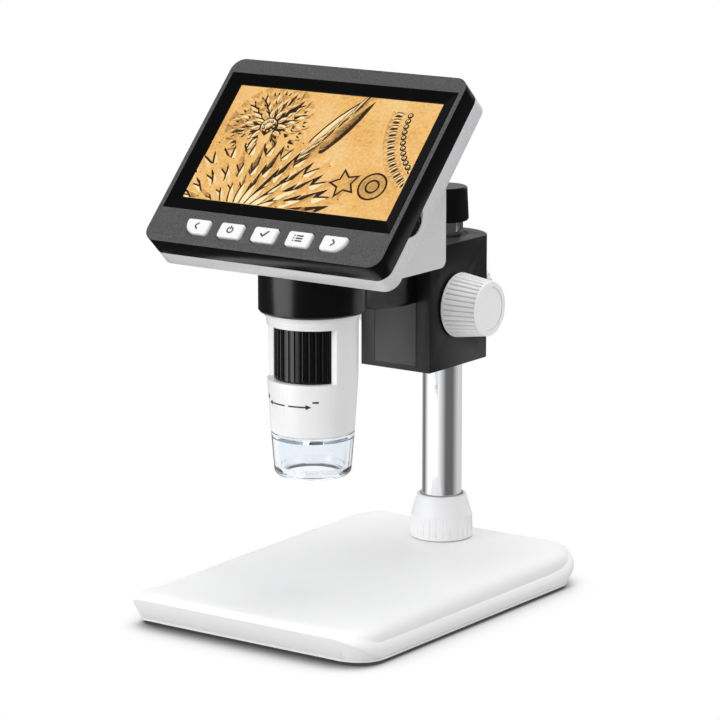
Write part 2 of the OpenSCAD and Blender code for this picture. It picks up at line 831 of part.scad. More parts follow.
module usb_room(grow) {
    span([-case_w / 2 - cut, usb_u - usb_w / 2 - grow, -board_n - usb_t - grow],
         [-case_w / 2 + 9, usb_u + usb_w / 2 + grow, -board_n + grow]);
}

module card_room(grow) {
    span([-case_w / 2 - cut, card_u - card_w / 2 - grow, -board_n - card_t - grow],
         [-case_w / 2 + 9, card_u + card_w / 2 + grow, -board_n + grow]);
}

module front_bezel() {
    color([0.2, 0.2, 0.21]) at_screen() {
        difference() {
            translate([0, 0, -seam_n]) linear_extrude(seam_n + face_h) case_plan(0);
            translate([0, 0, -seam_n - cut]) linear_extrude(seam_n + cut) case_plan(case_wall);
            translate([-window_w / 2 - 0.1, -window_down - 0.1, -cut])
                cube([window_w + 0.2, window_up + window_down + 0.2, face_h + 2 * cut]);
            for (i = [0:4]) at_key(i) translate([0, 0, -cut])
                linear_extrude(face_h + 2 * cut) key_outline(key_side(i), gap);
            usb_room(0.2);
            card_room(0.2);
        }
        case_screw_places() difference() {
            translate([0, 0, -seam_n + seat]) cylinder(r = case_boss_r, h = seam_n);
            translate([0, 0, -seam_n]) cylinder(r = screw_r, h = seam_n - 1.5);
        }
        for (s = [-1, 1]) translate([s * key_board_post, key_u, 0]) {
            translate([0, 0, -key_board_n + seat]) cylinder(r = 1.8, h = key_board_n);
            translate([0, 0, -key_board_n - key_board_t - 0.4])
                cylinder(r = 0.9, h = key_board_t + 0.4 + 2 * seat);
        }
    }
}

module window_frame() {
    w = screen_w + 0.2;
    h = screen_h + 0.2;
    color([0.03, 0.03, 0.03]) at_screen() difference() {
        span([-window_w / 2, -window_down, 0], [window_w / 2, window_up, face_h - seat]);
        translate([-w / 2, -h / 2, -cut]) cube([w, h, 2 * cut + face_h]);
        hull() {
            translate([-w / 2, -h / 2, 0.3]) cube([w, h, 0.01]);
            span([-window_w / 2 + 0.4, -window_down + 0.4, face_h - seat],
                 [window_w / 2 - 0.4, window_up - 0.4, face_h + 0.1]);
        }
    }
}

module lcd_panel() {
    color("goldenrod") at_screen()
        span([-screen_w / 2 - 3, -screen_h / 2 - 3, -seat - glass_t],
             [screen_w / 2 + 3, screen_h / 2 + 3, -seat]);
}

module lcd_tray() {
    color("silver") at_screen() difference() {
        span([-tray_w / 2, -tray_down, -tray_t], [tray_w / 2, tray_up, -2 * seat]);
        span([-screen_w / 2 - 3.2, -screen_h / 2 - 3.2, -glass_t - 2 * seat],
             [screen_w / 2 + 3.2, screen_h / 2 + 3.2, cut]);
    }
    color("silver") at_screen() board_screw_places()
        ring(2.4, board_pilot_r, -board_n + board_t + seat, -tray_t + root);
}

module board_screw_places() {
    for (s = [-1, 1]) {
        translate([s * (board_w / 2 - 7), board_screw_up, 0]) children();
        translate([s * (board_w / 2 - 15), -board_screw_down, 0]) children();
    }
}

module foam_pads() {
    color("black") at_screen() for (x = [-1, 1], u = [-pad_down, pad_up])
        translate([x * pad_x - pad_w / 2, u - pad_h / 2, -tray_t - seat - pad_t])
            cube([pad_w, pad_h, pad_t]);
}

module main_board() {
    color("darkgreen") at_screen() difference() {
        span([-board_w / 2, -board_down, -board_n], [board_w / 2, board_up, -board_n + board_t]);
        board_screw_places() translate([0, 0, -board_n - cut])
            cylinder(r = board_pilot_r + 0.1, h = board_t + 2 * cut);
    }
}

module board_screws() {
    color("silver") at_screen() board_screw_places() {
        translate([0, 0, -board_n - seat - 1]) cylinder(r = 1.8, h = 1);
        translate([0, 0, -board_n - seat])
            cylinder(r = board_pilot_r - 0.04, h = board_n + seat - tray_t - 0.1);
    }
}

module board_chips() {
    color([0.12, 0.12, 0.12]) at_screen() translate([0, 0, -board_n - seat]) {
        translate([-6, -24, -1.4]) cube([14, 14, 1.4]);
        translate([14, -22, -1.2]) cube([12, 8, 1.2]);
        translate([-24, -22, -1]) cube([10, 6, 1]);
        translate([29, -4, -1.5]) cube([6, 6, 1.5]);
        translate([-40, -22, -1.6]) cube([7, 7, 1.6]);
        for (i = [0:3]) translate([-38 + 4 * i, 22, -0.8]) cube([2.4, 1.6, 0.8]);
    }
}

module button_board() {
    color("darkgreen") at_screen() difference() {
        translate([0, key_u, -key_board_n - key_board_t]) linear_extrude(key_board_t)
            round_rect(2 * (key_board_post + key_board_end), key_board_h, 1);
        for (s = [-1, 1]) translate([s * key_board_post, key_u, -key_board_n - 2 * key_board_t])
            cylinder(r = 0.95, h = 3 * key_board_t);
    }
}

module tact_switches() {
    color("dimgray") at_screen() for (i = [0:4]) at_key(i) {
        translate([-switch_w / 2, -switch_w / 2, -key_board_n + seat])
            cube([switch_w, switch_w, key_board_n - switch_body_n - seat]);
        translate([0, 0, -switch_body_n]) cylinder(r = 1.2, h = switch_body_n - switch_n);
    }
}

module battery() {
    color("royalblue") at_screen()
        translate([0, battery_u, -case_n + case_wall + seat])
            linear_extrude(case_n - case_wall - board_n - 2 * seat - battery_gap)
                round_rect(battery_w, battery_h, battery_gap);
}

module usb_port() {
    color("silver") at_screen() difference() {
        span([-port_x, usb_u - usb_w / 2, -board_n - usb_t],
             [-port_x + 8.6, usb_u + usb_w / 2, -board_n - seat]);
        span([-port_x - cut, usb_u - usb_w / 2 + 0.4, -board_n - usb_t + 0.4],
             [-port_x + 7, usb_u + usb_w / 2 - 0.4, -board_n - 0.5]);
    }
}

module card_slot() {
    color("silver") at_screen() difference() {
        span([-port_x, card_u - card_w / 2, -board_n - card_t],
             [-port_x + 8.8, card_u + card_w / 2, -board_n - seat]);
        span([-port_x - cut, card_u - card_w / 2 + 0.6, -board_n - card_t + 0.4],
             [-port_x + 7.6, card_u + card_w / 2 - 0.6, -board_n - 0.4]);
    }
}

module at_dial() {
    at_screen() translate([dial_x, -dial_drop, 0]) children();
}

module dial_potentiometer() {
    color("darkslategray") at_dial() {
        translate([-4.5, -4.5, -dial_n + 0.1]) cube([9, 9, dial_n - board_n - seat - 0.1]);
        translate([0, 0, -dial_n - dial_t - 0.3]) cylinder(r = 1.5, h = dial_t + 0.5);
    }
}

module brightness_dial() {
    color([0.06, 0.06, 0.06]) at_dial() difference() {
        ring(dial_r, 1.5 + run_fit, -dial_n - dial_t, -dial_n);
        for (i = [0:35]) rotate(i * 10)
            translate([dial_r + 0.1, 0, -dial_n - dial_t - cut])
                cylinder(r = 0.4, h = dial_t + 2 * cut, $fn = 16);
    }
}

// height of the plane at depth d below the glass, over the tube's y
function plane_z(y, d) = screen_z + (y - d * sin(tilt)) * tan(tilt) - d * cos(tilt);
function plane_y(z, d) = d * sin(tilt) + (z - screen_z + d * cos(tilt)) / tan(tilt);

// the wedge's (y, z) outline, inset by a wall and reaching up to the plane at depth d
module wedge_outline(inset, d) {
    y1 = wedge_d - inset;
    z0 = case_z + inset;
    r = max(wedge_r - inset, 0.5);
    polygon(concat(
        [[plane_y(z0, d), z0]],
        arc(y1 - r, z0 + r, r, -90, 0, 5),
        [[y1, plane_z(y1, d)]]));
}

module case_rear_outer() {
    at_screen() hull() {
        translate([0, 0, -case_n + case_edge])
            linear_extrude(case_n - case_edge - seam_n - seat) case_plan(0);
        translate([0, 0, -case_n]) linear_extrude(case_edge) case_plan(case_edge);
    }
    at_tube() along_x(wedge_w) wedge_outline(0, case_n - case_wall);
}

module rear_cover() {
    color("whitesmoke") {
        difference() {
            case_rear_outer();
            at_screen() translate([0, 0, -case_n + case_wall])
                linear_extrude(case_n) case_plan(case_wall);
            at_tube() along_x(wedge_w - 2 * case_wall)
                wedge_outline(case_wall, case_n - case_wall - 1);
            at_tube() translate([0, 0, case_z - cut]) cylinder(r = light_r, h = case_wall + 2 * cut);
            neck_screw_places() translate([0, 0, case_z - cut])
                cylinder(r = screw_r + 0.2, h = case_wall + 2 * cut);
            at_screen() {
                case_screw_places() translate([0, 0, -case_n - cut])
                    cylinder(r = screw_head_r, h = head_sink + cut);
                translate([case_w / 2 - 3, -dial_drop, -dial_notch_n]) rotate([0, 90, 0])
                    cylinder(r = dial_notch_r, h = 3 + cut);
                translate([dial_x, -dial_drop, -dial_n - dial_t - gap])
                    cylinder(r = dial_r + gap, h = dial_t + 2 * gap);
                usb_room(0.2);
                card_room(0.2);
            }
        }
        at_screen() case_screw_places() difference() {
            translate([0, 0, -case_n + head_sink])
                cylinder(r = cover_boss_r, h = case_n - head_sink - seam_n - seat);
            translate([0, 0, -case_n]) cylinder(r = screw_r + 0.1, h = case_n);
        }
    }
}

module cover_screws() {
    color("silver") at_screen() case_screw_places() {
        difference() {
            translate([0, 0, -case_n + head_sink - seat - 1.6])
                cylinder(r = screw_head_r - 0.2, h = 1.6);
            for (a = [0, 90]) translate([0, 0, -case_n + head_sink - seat - 1.6]) rotate(a)
                cube([3, 0.7, 1], center = true);
        }
        translate([0, 0, -case_n + head_sink - seat])
            cylinder(r = screw_r - 0.03, h = case_n - head_sink - 2.2);
    }
}

// ---------- keys ----------

module key(i) {
    color("white") at_screen() at_key(i) {
        hull() {
            translate([0, 0, -0.1 - root]) linear_extrude(face_h + key_out - 0.5 + root)
                key_outline(key_side(i), 0, $fn = 32);
            linear_extrude(face_h + key_out) key_outline(key_side(i), -0.6, $fn = 32);
        }
        translate([0, 0, -0.1 - key_flange_t]) linear_extrude(key_flange_t)
            key_outline(key_side(i), key_flange);
        translate([0, 0, -stem_n]) cylinder(r = stem_r, h = stem_n);
    }
}

module button_back() { key(0); }
module button_power() { key(1); }
module button_ok() { key(2); }
module button_menu() { key(3); }
module button_next() { key(4); }

// ---------- neck ----------

module neck_screw_places() {
    at_tube() for (x = [-13.6, 13.6], y = [-6, 5]) translate([x, y, 0]) children();
}

module neck_housing() {
    slot_y = block_y + rail_t;
    color([0.12, 0.12, 0.13]) {
        difference() {
            union() {
                at_tube() {
                    translate([0, 0, neck_z + 0.8]) cylinder(r = neck_r, h = neck_h - 0.8);
                    translate([0, 0, neck_z]) cylinder(r1 = neck_r - 0.7, r2 = neck_r, h = 0.8);
                }
                // arm from the neck to the tail, its underside falling to the tail
                along_x(tail_w) polygon([
                    [tube_y + neck_r - 6, tail_top], [tube_y + neck_r - 6, neck_z],
                    [tube_y + neck_r, neck_z], [tube_y + neck_r + 6, arm_z + 1.6],
                    [block_y - 8, arm_z], [slot_y + slot_t - slide_fit, arm_z],
                    [slot_y + slot_t - slide_fit, tail_top]]);
            }
            at_tube() {
                translate([0, 0, neck_z - cut])
                    cylinder(r = tube_r_top + 0.1, h = roof_low - neck_z + cut);
                translate([0, 0, neck_z]) cylinder(r = light_r, h = neck_h + cut);
            }
            neck_screw_places() translate([0, 0, roof_low - cut])
                cylinder(r = screw_r + 0.03, h = neck_roof + 2 * cut);
            // clearance under the rear cover
            at_screen() translate([-neck_r - cut, -case_down - 10, -case_n - gap])
                cube([2 * neck_r + 2 * cut, case_down + 20, 20]);
        }
        // tail plate with its flange
        span([-tail_w / 2, block_y, tail_z], [tail_w / 2, slot_y + slide_fit + 0.2, tail_top]);
        span([-tail_wide / 2, slot_y + slide_fit, tail_z],
             [tail_wide / 2, slot_y + slot_t - slide_fit, block_top - gap]);
    }
}

module neck_screws() {
    z = case_z + case_wall + seat;
    color("silver") neck_screw_places() {
        difference() {
            translate([0, 0, z]) cylinder(r = 2.3, h = 1.5);
            for (a = [0, 90]) translate([0, 0, z + 1.5]) rotate(a)
                cube([3, 0.7, 1], center = true);
        }
        translate([0, 0, roof_low + 1]) cylinder(r = screw_r, h = z - roof_low - 1);
    }
}

// ---------- camera ----------

module sensor_holder() {
    z = case_z + case_wall + seat;
    color([0.1, 0.1, 0.1]) at_tube() difference() {
        translate([-sensor_w / 2, -sensor_w / 2, z]) cube([sensor_w, sensor_w, holder_h]);
        translate([0, 0, z - cut]) cylinder(r = light_r, h = holder_h + 2 * cut);
    }
}

module sensor_board() {
    color("darkgreen") at_tube()
        translate([-sensor_w / 2, -sensor_w / 2, sensor_z]) cube([sensor_w, sensor_w, sensor_t]);
}

module image_sensor() {
    color("lightsteelblue") at_tube()
        translate([-3.6, -3.1, sensor_z - seat - 1.2]) cube([7.2, 6.2, 1.2]);
}

module flex_cable() {
    z = sensor_z + sensor_t + seat;
    t = 0.3;
    end = plane_z(-1 - t, board_n) - 2 * seat;
    color("orange") at_tube() along_x(9) polygon([
        [5, z], [7, z], [7, z + 5], [-1, z + 9 + t], [-1, end], [-1 - t, end],
        [-1 - t, z + 9], [7 - t, z + 5 - t], [7 - t, z + t], [5, z + t]]);
}

// ---------- tube and optics ----------

module tube_sleeve() {
    color("white") at_tube() difference() {
        rotate_extrude() polygon([
            [tube_low_bore, tube_z], [tube_r_low - 0.4, tube_z], [tube_r_low, tube_z + 0.4],
            [tube_r_mid, window_z], [tube_r_body, ring_z - 0.3], [tube_r_top, ring_z],
            [tube_r_top, tube_top], [tube_bore, tube_top], [tube_bore, window_z],
            [tube_low_bore, window_z]]);
        span([-tube_r_top, -tube_r_top, window_z],
             [tube_r_top, -window_flat, window_z + window_h]);
    }
}

module guide_tube() {
    color("dimgray") at_tube() difference() {
        union() {
            ring(guide_r, guide_bore, guide_z, tube_top - seat);
            ring(tube_bore - 0.1, guide_bore, guide_flange_z, guide_flange_z + 1.6);
            ring(tube_bore - 0.1, guide_bore, tube_top - 4, tube_top - seat);
        }
        for (s = [-1, 1]) span([s > 0 ? guide_bore - 1 : -guide_r - cut, -pin_r - 0.1,
                                wheel_mid - pin_room],
                               [s > 0 ? guide_r + cut : 1 - guide_bore, pin_r + 0.1,
                                wheel_mid + pin_room]);
    }
}

module focus_wheel() {
    color([0.14, 0.14, 0.14]) at_tube() difference() {
        ring(wheel_r, guide_r + run_fit, wheel_z, wheel_z + wheel_h);
        ring(groove_r, guide_r - cut, wheel_mid - pin_room, wheel_mid + pin_room);
        for (i = [0:35]) rotate(i * 10) translate([wheel_r + 0.15, 0, wheel_z - cut])
            cylinder(r = 0.62, h = wheel_h + 2 * cut, $fn = 16);
    }
}

module lens_barrel() {
    top = barrel_z + barrel_l;
    color("darkgray") at_tube() difference() {
        ring(barrel_r, light_r - 0.2, barrel_z, top);
        translate([0, 0, barrel_z - cut]) cylinder(r = lens_r + 0.03, h = lens_seat + cut);
        translate([0, 0, top - lens_seat]) cylinder(r = lens_r + 0.03, h = lens_seat + cut);
        translate([0, 0, wheel_mid]) rotate([0, 90, 0])
            cylinder(r = pin_r + 0.02, h = 4 * barrel_r, center = true);
    }
}

module lens_pins() {
    color("silver") at_tube() for (s = [-1, 1]) translate([0, 0, wheel_mid])
        rotate([0, s * 90, 0]) translate([0, 0, light_r])
            cylinder(r = pin_r, h = pin_end - light_r);
}

module lens(z) {
    swell = asin(lens_r / lens_curve);
    color("lightcyan") at_tube() translate([0, 0, z]) rotate_extrude() polygon(concat(
        arc(0, lens_curve, lens_curve, -90, swell - 90, 6),
        arc(0, lens_t - lens_curve, lens_curve, 90 - swell, 90, 6)));
}

module front_lens() { lens(barrel_z + 0.7); }
module rear_lens() { lens(barrel_z + barrel_l - 0.7 - lens_t); }

module clear_tip() {
    z1 = tube_z - seat;
    mouth = tip_r - 1.2;
    color([0.8, 0.9, 1, 0.5]) at_tube() rotate_extrude() polygon(concat(
        [[tip_mouth_r, tip_z], [mouth - 2.4, tip_z]],
        arc(mouth - 2.4, tip_z + 2.4, 2.4, -75, 0, 5),
        [[tip_r, z1], [tip_spigot_r, z1], [tip_spigot_r, tube_z + tip_spigot_h],
         [tip_spigot_r - 1.5, tube_z + tip_spigot_h], [tip_spigot_r - 1.5, z1 - 1.2],
         [tip_r - tip_wall, z1 - 2.4], [mouth - tip_wall, tip_z + 4],
         [tip_mouth_r, tip_z + 1.8]]));
}

module led_board() {
    color("whitesmoke") at_tube()
        ring(tube_low_bore - 0.1, light_r, lamp_board_z, lamp_board_z + lamp_board_t);
}

module leds() {
    color("lightyellow") at_tube() for (i = [0:lamp_count - 1])
        rotate((i + 0.5) * 360 / lamp_count) translate([lamp_circle, 0, 0]) {
            translate([0, 0, lamp_board_z - lamp_h]) cylinder(r = lamp_r, h = lamp_h - seat);
            translate([0, 0, lamp_board_z - lamp_h]) sphere(lamp_r);
        }
}

base_shell();
base_cover();
ballast_plate();
base_feet();
base_screws();
pole_socket();
pole();
pole_plug();
pole_bolt();
collet();
pole_cap();
base_collar();
block_body();
slide_bushes();
shaft_bushes();
brake_pad();
lock_knob();
drive_shaft();
drive_roller();
knob_left();
knob_right();
knob_discs();
front_bezel();
window_frame();
lcd_panel();
lcd_tray();
foam_pads();
main_board();
board_screws();
board_chips();
button_board();
tact_switches();
battery();
usb_port();
card_slot();
dial_potentiometer();
brightness_dial();
rear_cover();
cover_screws();
button_back();
button_power();
button_ok();
button_menu();
button_next();
neck_housing();
neck_screws();
sensor_holder();
sensor_board();
image_sensor();
flex_cable();
tube_sleeve();
guide_tube();
clear_tip();
led_board();
leds();
focus_wheel();
lens_barrel();
lens_pins();
front_lens();
rear_lens();
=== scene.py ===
import bpy
import math
from mathutils import Matrix, Vector


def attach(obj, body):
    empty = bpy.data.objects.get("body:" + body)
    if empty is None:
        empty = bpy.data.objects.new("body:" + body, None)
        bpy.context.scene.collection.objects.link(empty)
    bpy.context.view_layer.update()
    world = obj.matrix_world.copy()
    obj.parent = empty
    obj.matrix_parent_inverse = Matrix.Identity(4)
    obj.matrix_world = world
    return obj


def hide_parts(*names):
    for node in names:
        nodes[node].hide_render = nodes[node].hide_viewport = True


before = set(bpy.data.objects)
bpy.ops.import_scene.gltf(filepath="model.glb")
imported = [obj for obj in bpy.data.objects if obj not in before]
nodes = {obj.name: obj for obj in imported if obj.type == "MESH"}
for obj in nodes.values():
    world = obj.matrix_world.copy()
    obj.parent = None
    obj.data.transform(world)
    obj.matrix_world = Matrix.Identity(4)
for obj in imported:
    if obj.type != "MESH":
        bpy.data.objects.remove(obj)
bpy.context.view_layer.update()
mm = 0.001
touch = 1e-6  # places closer than this, in m, are one
along = 0.9  # a face looks along an axis when its normal has more than this share of it
print("frame loaded")

# camera, at the height of someone sitting at the microscope
view = {"place": (0.78056, -1.08982, 0.38202), "turn": (78.05, 0, 35.63), "lens": 175.65}
bpy.ops.object.camera_add(location=view["place"],
                          rotation=[math.radians(a) for a in view["turn"]])
camera = bpy.context.object
camera.data.lens = view["lens"]
bpy.context.scene.camera = camera

# where the microscope's parts are, in mm
tubeY = -31.8
poleY = 56.3
screenZ = 184.35
tilt = math.radians(46.4)
screenPlace = (Matrix.Translation((0, tubeY * mm, screenZ * mm))
               @ Matrix.Rotation(tilt, 4, "X") @ Matrix.Scale(mm, 4))


# selecting and shaping

def deselectAll():
    bpy.ops.object.select_all(action="DESELECT")


def pick(piece):
    # only this piece is selected and active
    deselectAll()
    piece.select_set(True)
    bpy.context.view_layer.objects.active = piece


def enterEdit(piece):
    # edit mode with the whole piece selected
    pick(piece)
    bpy.ops.object.mode_set(mode="EDIT")
    bpy.ops.mesh.select_all(action="SELECT")


def leaveEdit():
    bpy.ops.object.mode_set(mode="OBJECT")


def startSelecting(piece, kind):
    # nothing is selected, and edit mode is set to points, edges or faces
    pick(piece)
    bpy.ops.object.mode_set(mode="EDIT")
    bpy.ops.mesh.select_mode(type=kind)
    bpy.ops.mesh.select_all(action="DESELECT")
    leaveEdit()


def selectFaces(piece, test):
    # edit mode with only the faces selected whose centre and normal pass the test
    startSelecting(piece, "FACE")
    for f in piece.data.polygons:
        f.select = bool(test(f.center, f.normal))
    bpy.ops.object.mode_set(mode="EDIT")


def selectPoints(piece, test):
    # edit mode with only the points selected whose place passes the test
    startSelecting(piece, "VERT")
    for point in piece.data.vertices:
        point.select = bool(test(point.co))
    bpy.ops.object.mode_set(mode="EDIT")


def selectEdges(piece, test):
    # edit mode with only the edges selected whose two ends pass the test
    startSelecting(piece, "EDGE")
    points = piece.data.vertices
    for e in piece.data.edges:
        e.select = bool(test(points[e.vertices[0]].co, points[e.vertices[1]].co))
    bpy.ops.object.mode_set(mode="EDIT")


def cutThrough(piece, place, normal, **options):
    # cuts the whole piece along a plane
    enterEdit(piece)
    bpy.ops.mesh.bisect(plane_co=place, plane_no=normal, **options)
    leaveEdit()


def turnOutwards(piece):
    enterEdit(piece)
    bpy.ops.mesh.normals_make_consistent(inside=False)
    leaveEdit()


def settle(piece):
    # moves the place, turn and size into the mesh
    pick(piece)
    bpy.ops.object.transform_apply(location=True, rotation=True, scale=True)
    return piece


def makeBlock(size, place, turn=0):
    # a box to shape further
    deselectAll()
    bpy.ops.mesh.primitive_cube_add(size=1, location=place,
                                    rotation=(0, 0, math.radians(turn)))
    piece = bpy.context.object
    piece.scale = size
    return settle(piece)


def applyModifier(piece, kind, **values):
    pick(piece)
    modifier = piece.modifiers.new(kind.title(), kind)
    for key, value in values.items():
        setattr(modifier, key, value)
    bpy.ops.object.modifier_apply(modifier=modifier.name)


def joined(parts, name):
    deselectAll()
    for part in parts:
        part.select_set(True)
    bpy.context.view_layer.objects.active = parts[0]
    bpy.ops.object.join()
    piece = bpy.context.object
    piece.name = name
    return piece


def copyNode(nodeName, pieceName, weld=2e-6, flat=0.5):
    # a merged copy of a node's mesh, with its flat faces made whole
    piece = nodes[nodeName].copy()
    piece.data = nodes[nodeName].data.copy()
    for key in [k for k in piece.keys() if k.startswith("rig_")]:
        del piece[key]
    piece.parent = None
    piece.name = pieceName
    piece.data.materials.clear()
    bpy.context.scene.collection.objects.link(piece)
    pick(piece)
    if piece.data.has_custom_normals:
        bpy.ops.mesh.customdata_custom_splitnormals_clear()
    enterEdit(piece)
    bpy.ops.mesh.remove_doubles(threshold=weld)
    bpy.ops.mesh.dissolve_limited(angle_limit=math.radians(flat))
    leaveEdit()
    return piece


def finishPiece(piece, body, material, angle=30):
    pick(piece)
    bpy.ops.object.shade_smooth_by_angle(angle=math.radians(angle))
    if material is not None:
        piece.data.materials.clear()
        piece.data.materials.append(material)
    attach(piece, body)


# nodes of materials

def setInputs(node, values):
    # each input takes a plain value or the output of another node
    for key, value in values.items():
        if isinstance(value, bpy.types.NodeSocket):
            node.id_data.links.new(value, node.inputs[key])
        else:
            node.inputs[key].default_value = value


def addNode(tree, kind, values, **settings):
    node = tree.nodes.new("ShaderNode" + kind)
    for key, value in settings.items():
        setattr(node, key, value)
    setInputs(node, values)
    return node


def maths(tree, operation, *values, clamp=False):
    node = addNode(tree, "Math", dict(enumerate(values)), operation=operation, use_clamp=clamp)
    return node.outputs["Value"]


def vectorMaths(tree, operation, values, result="Vector"):
    return addNode(tree, "VectorMath", values, operation=operation).outputs[result]


def mapped(tree, value, before=(0, 1), after=(0, 1), kind="LINEAR"):
    # a value of one range carried over to another
    node = addNode(tree, "MapRange", {
        "Value": value, "From Min": before[0], "From Max": before[1],
        "To Min": after[0], "To Max": after[1]}, interpolation_type=kind)
    return node.outputs["Result"]


def noise(tree, place, scale, detail):
    node = addNode(tree, "TexNoise", {"Vector": place, "Scale": scale, "Detail": detail})
    return node.outputs["Fac"]


def coordinates(tree, kind):
    return addNode(tree, "TexCoord", {}).outputs[kind]


def closeness(tree, reach, samples):
    # low where other surfaces stand within reach
    return addNode(tree, "AmbientOcclusion", {"Distance": reach}, samples=samples).outputs["AO"]


def emission(tree, colour, strength):
    return addNode(tree, "Emission", {"Color": colour, "Strength": strength}).outputs[0]


# finishes of the moulded, machined and printed parts

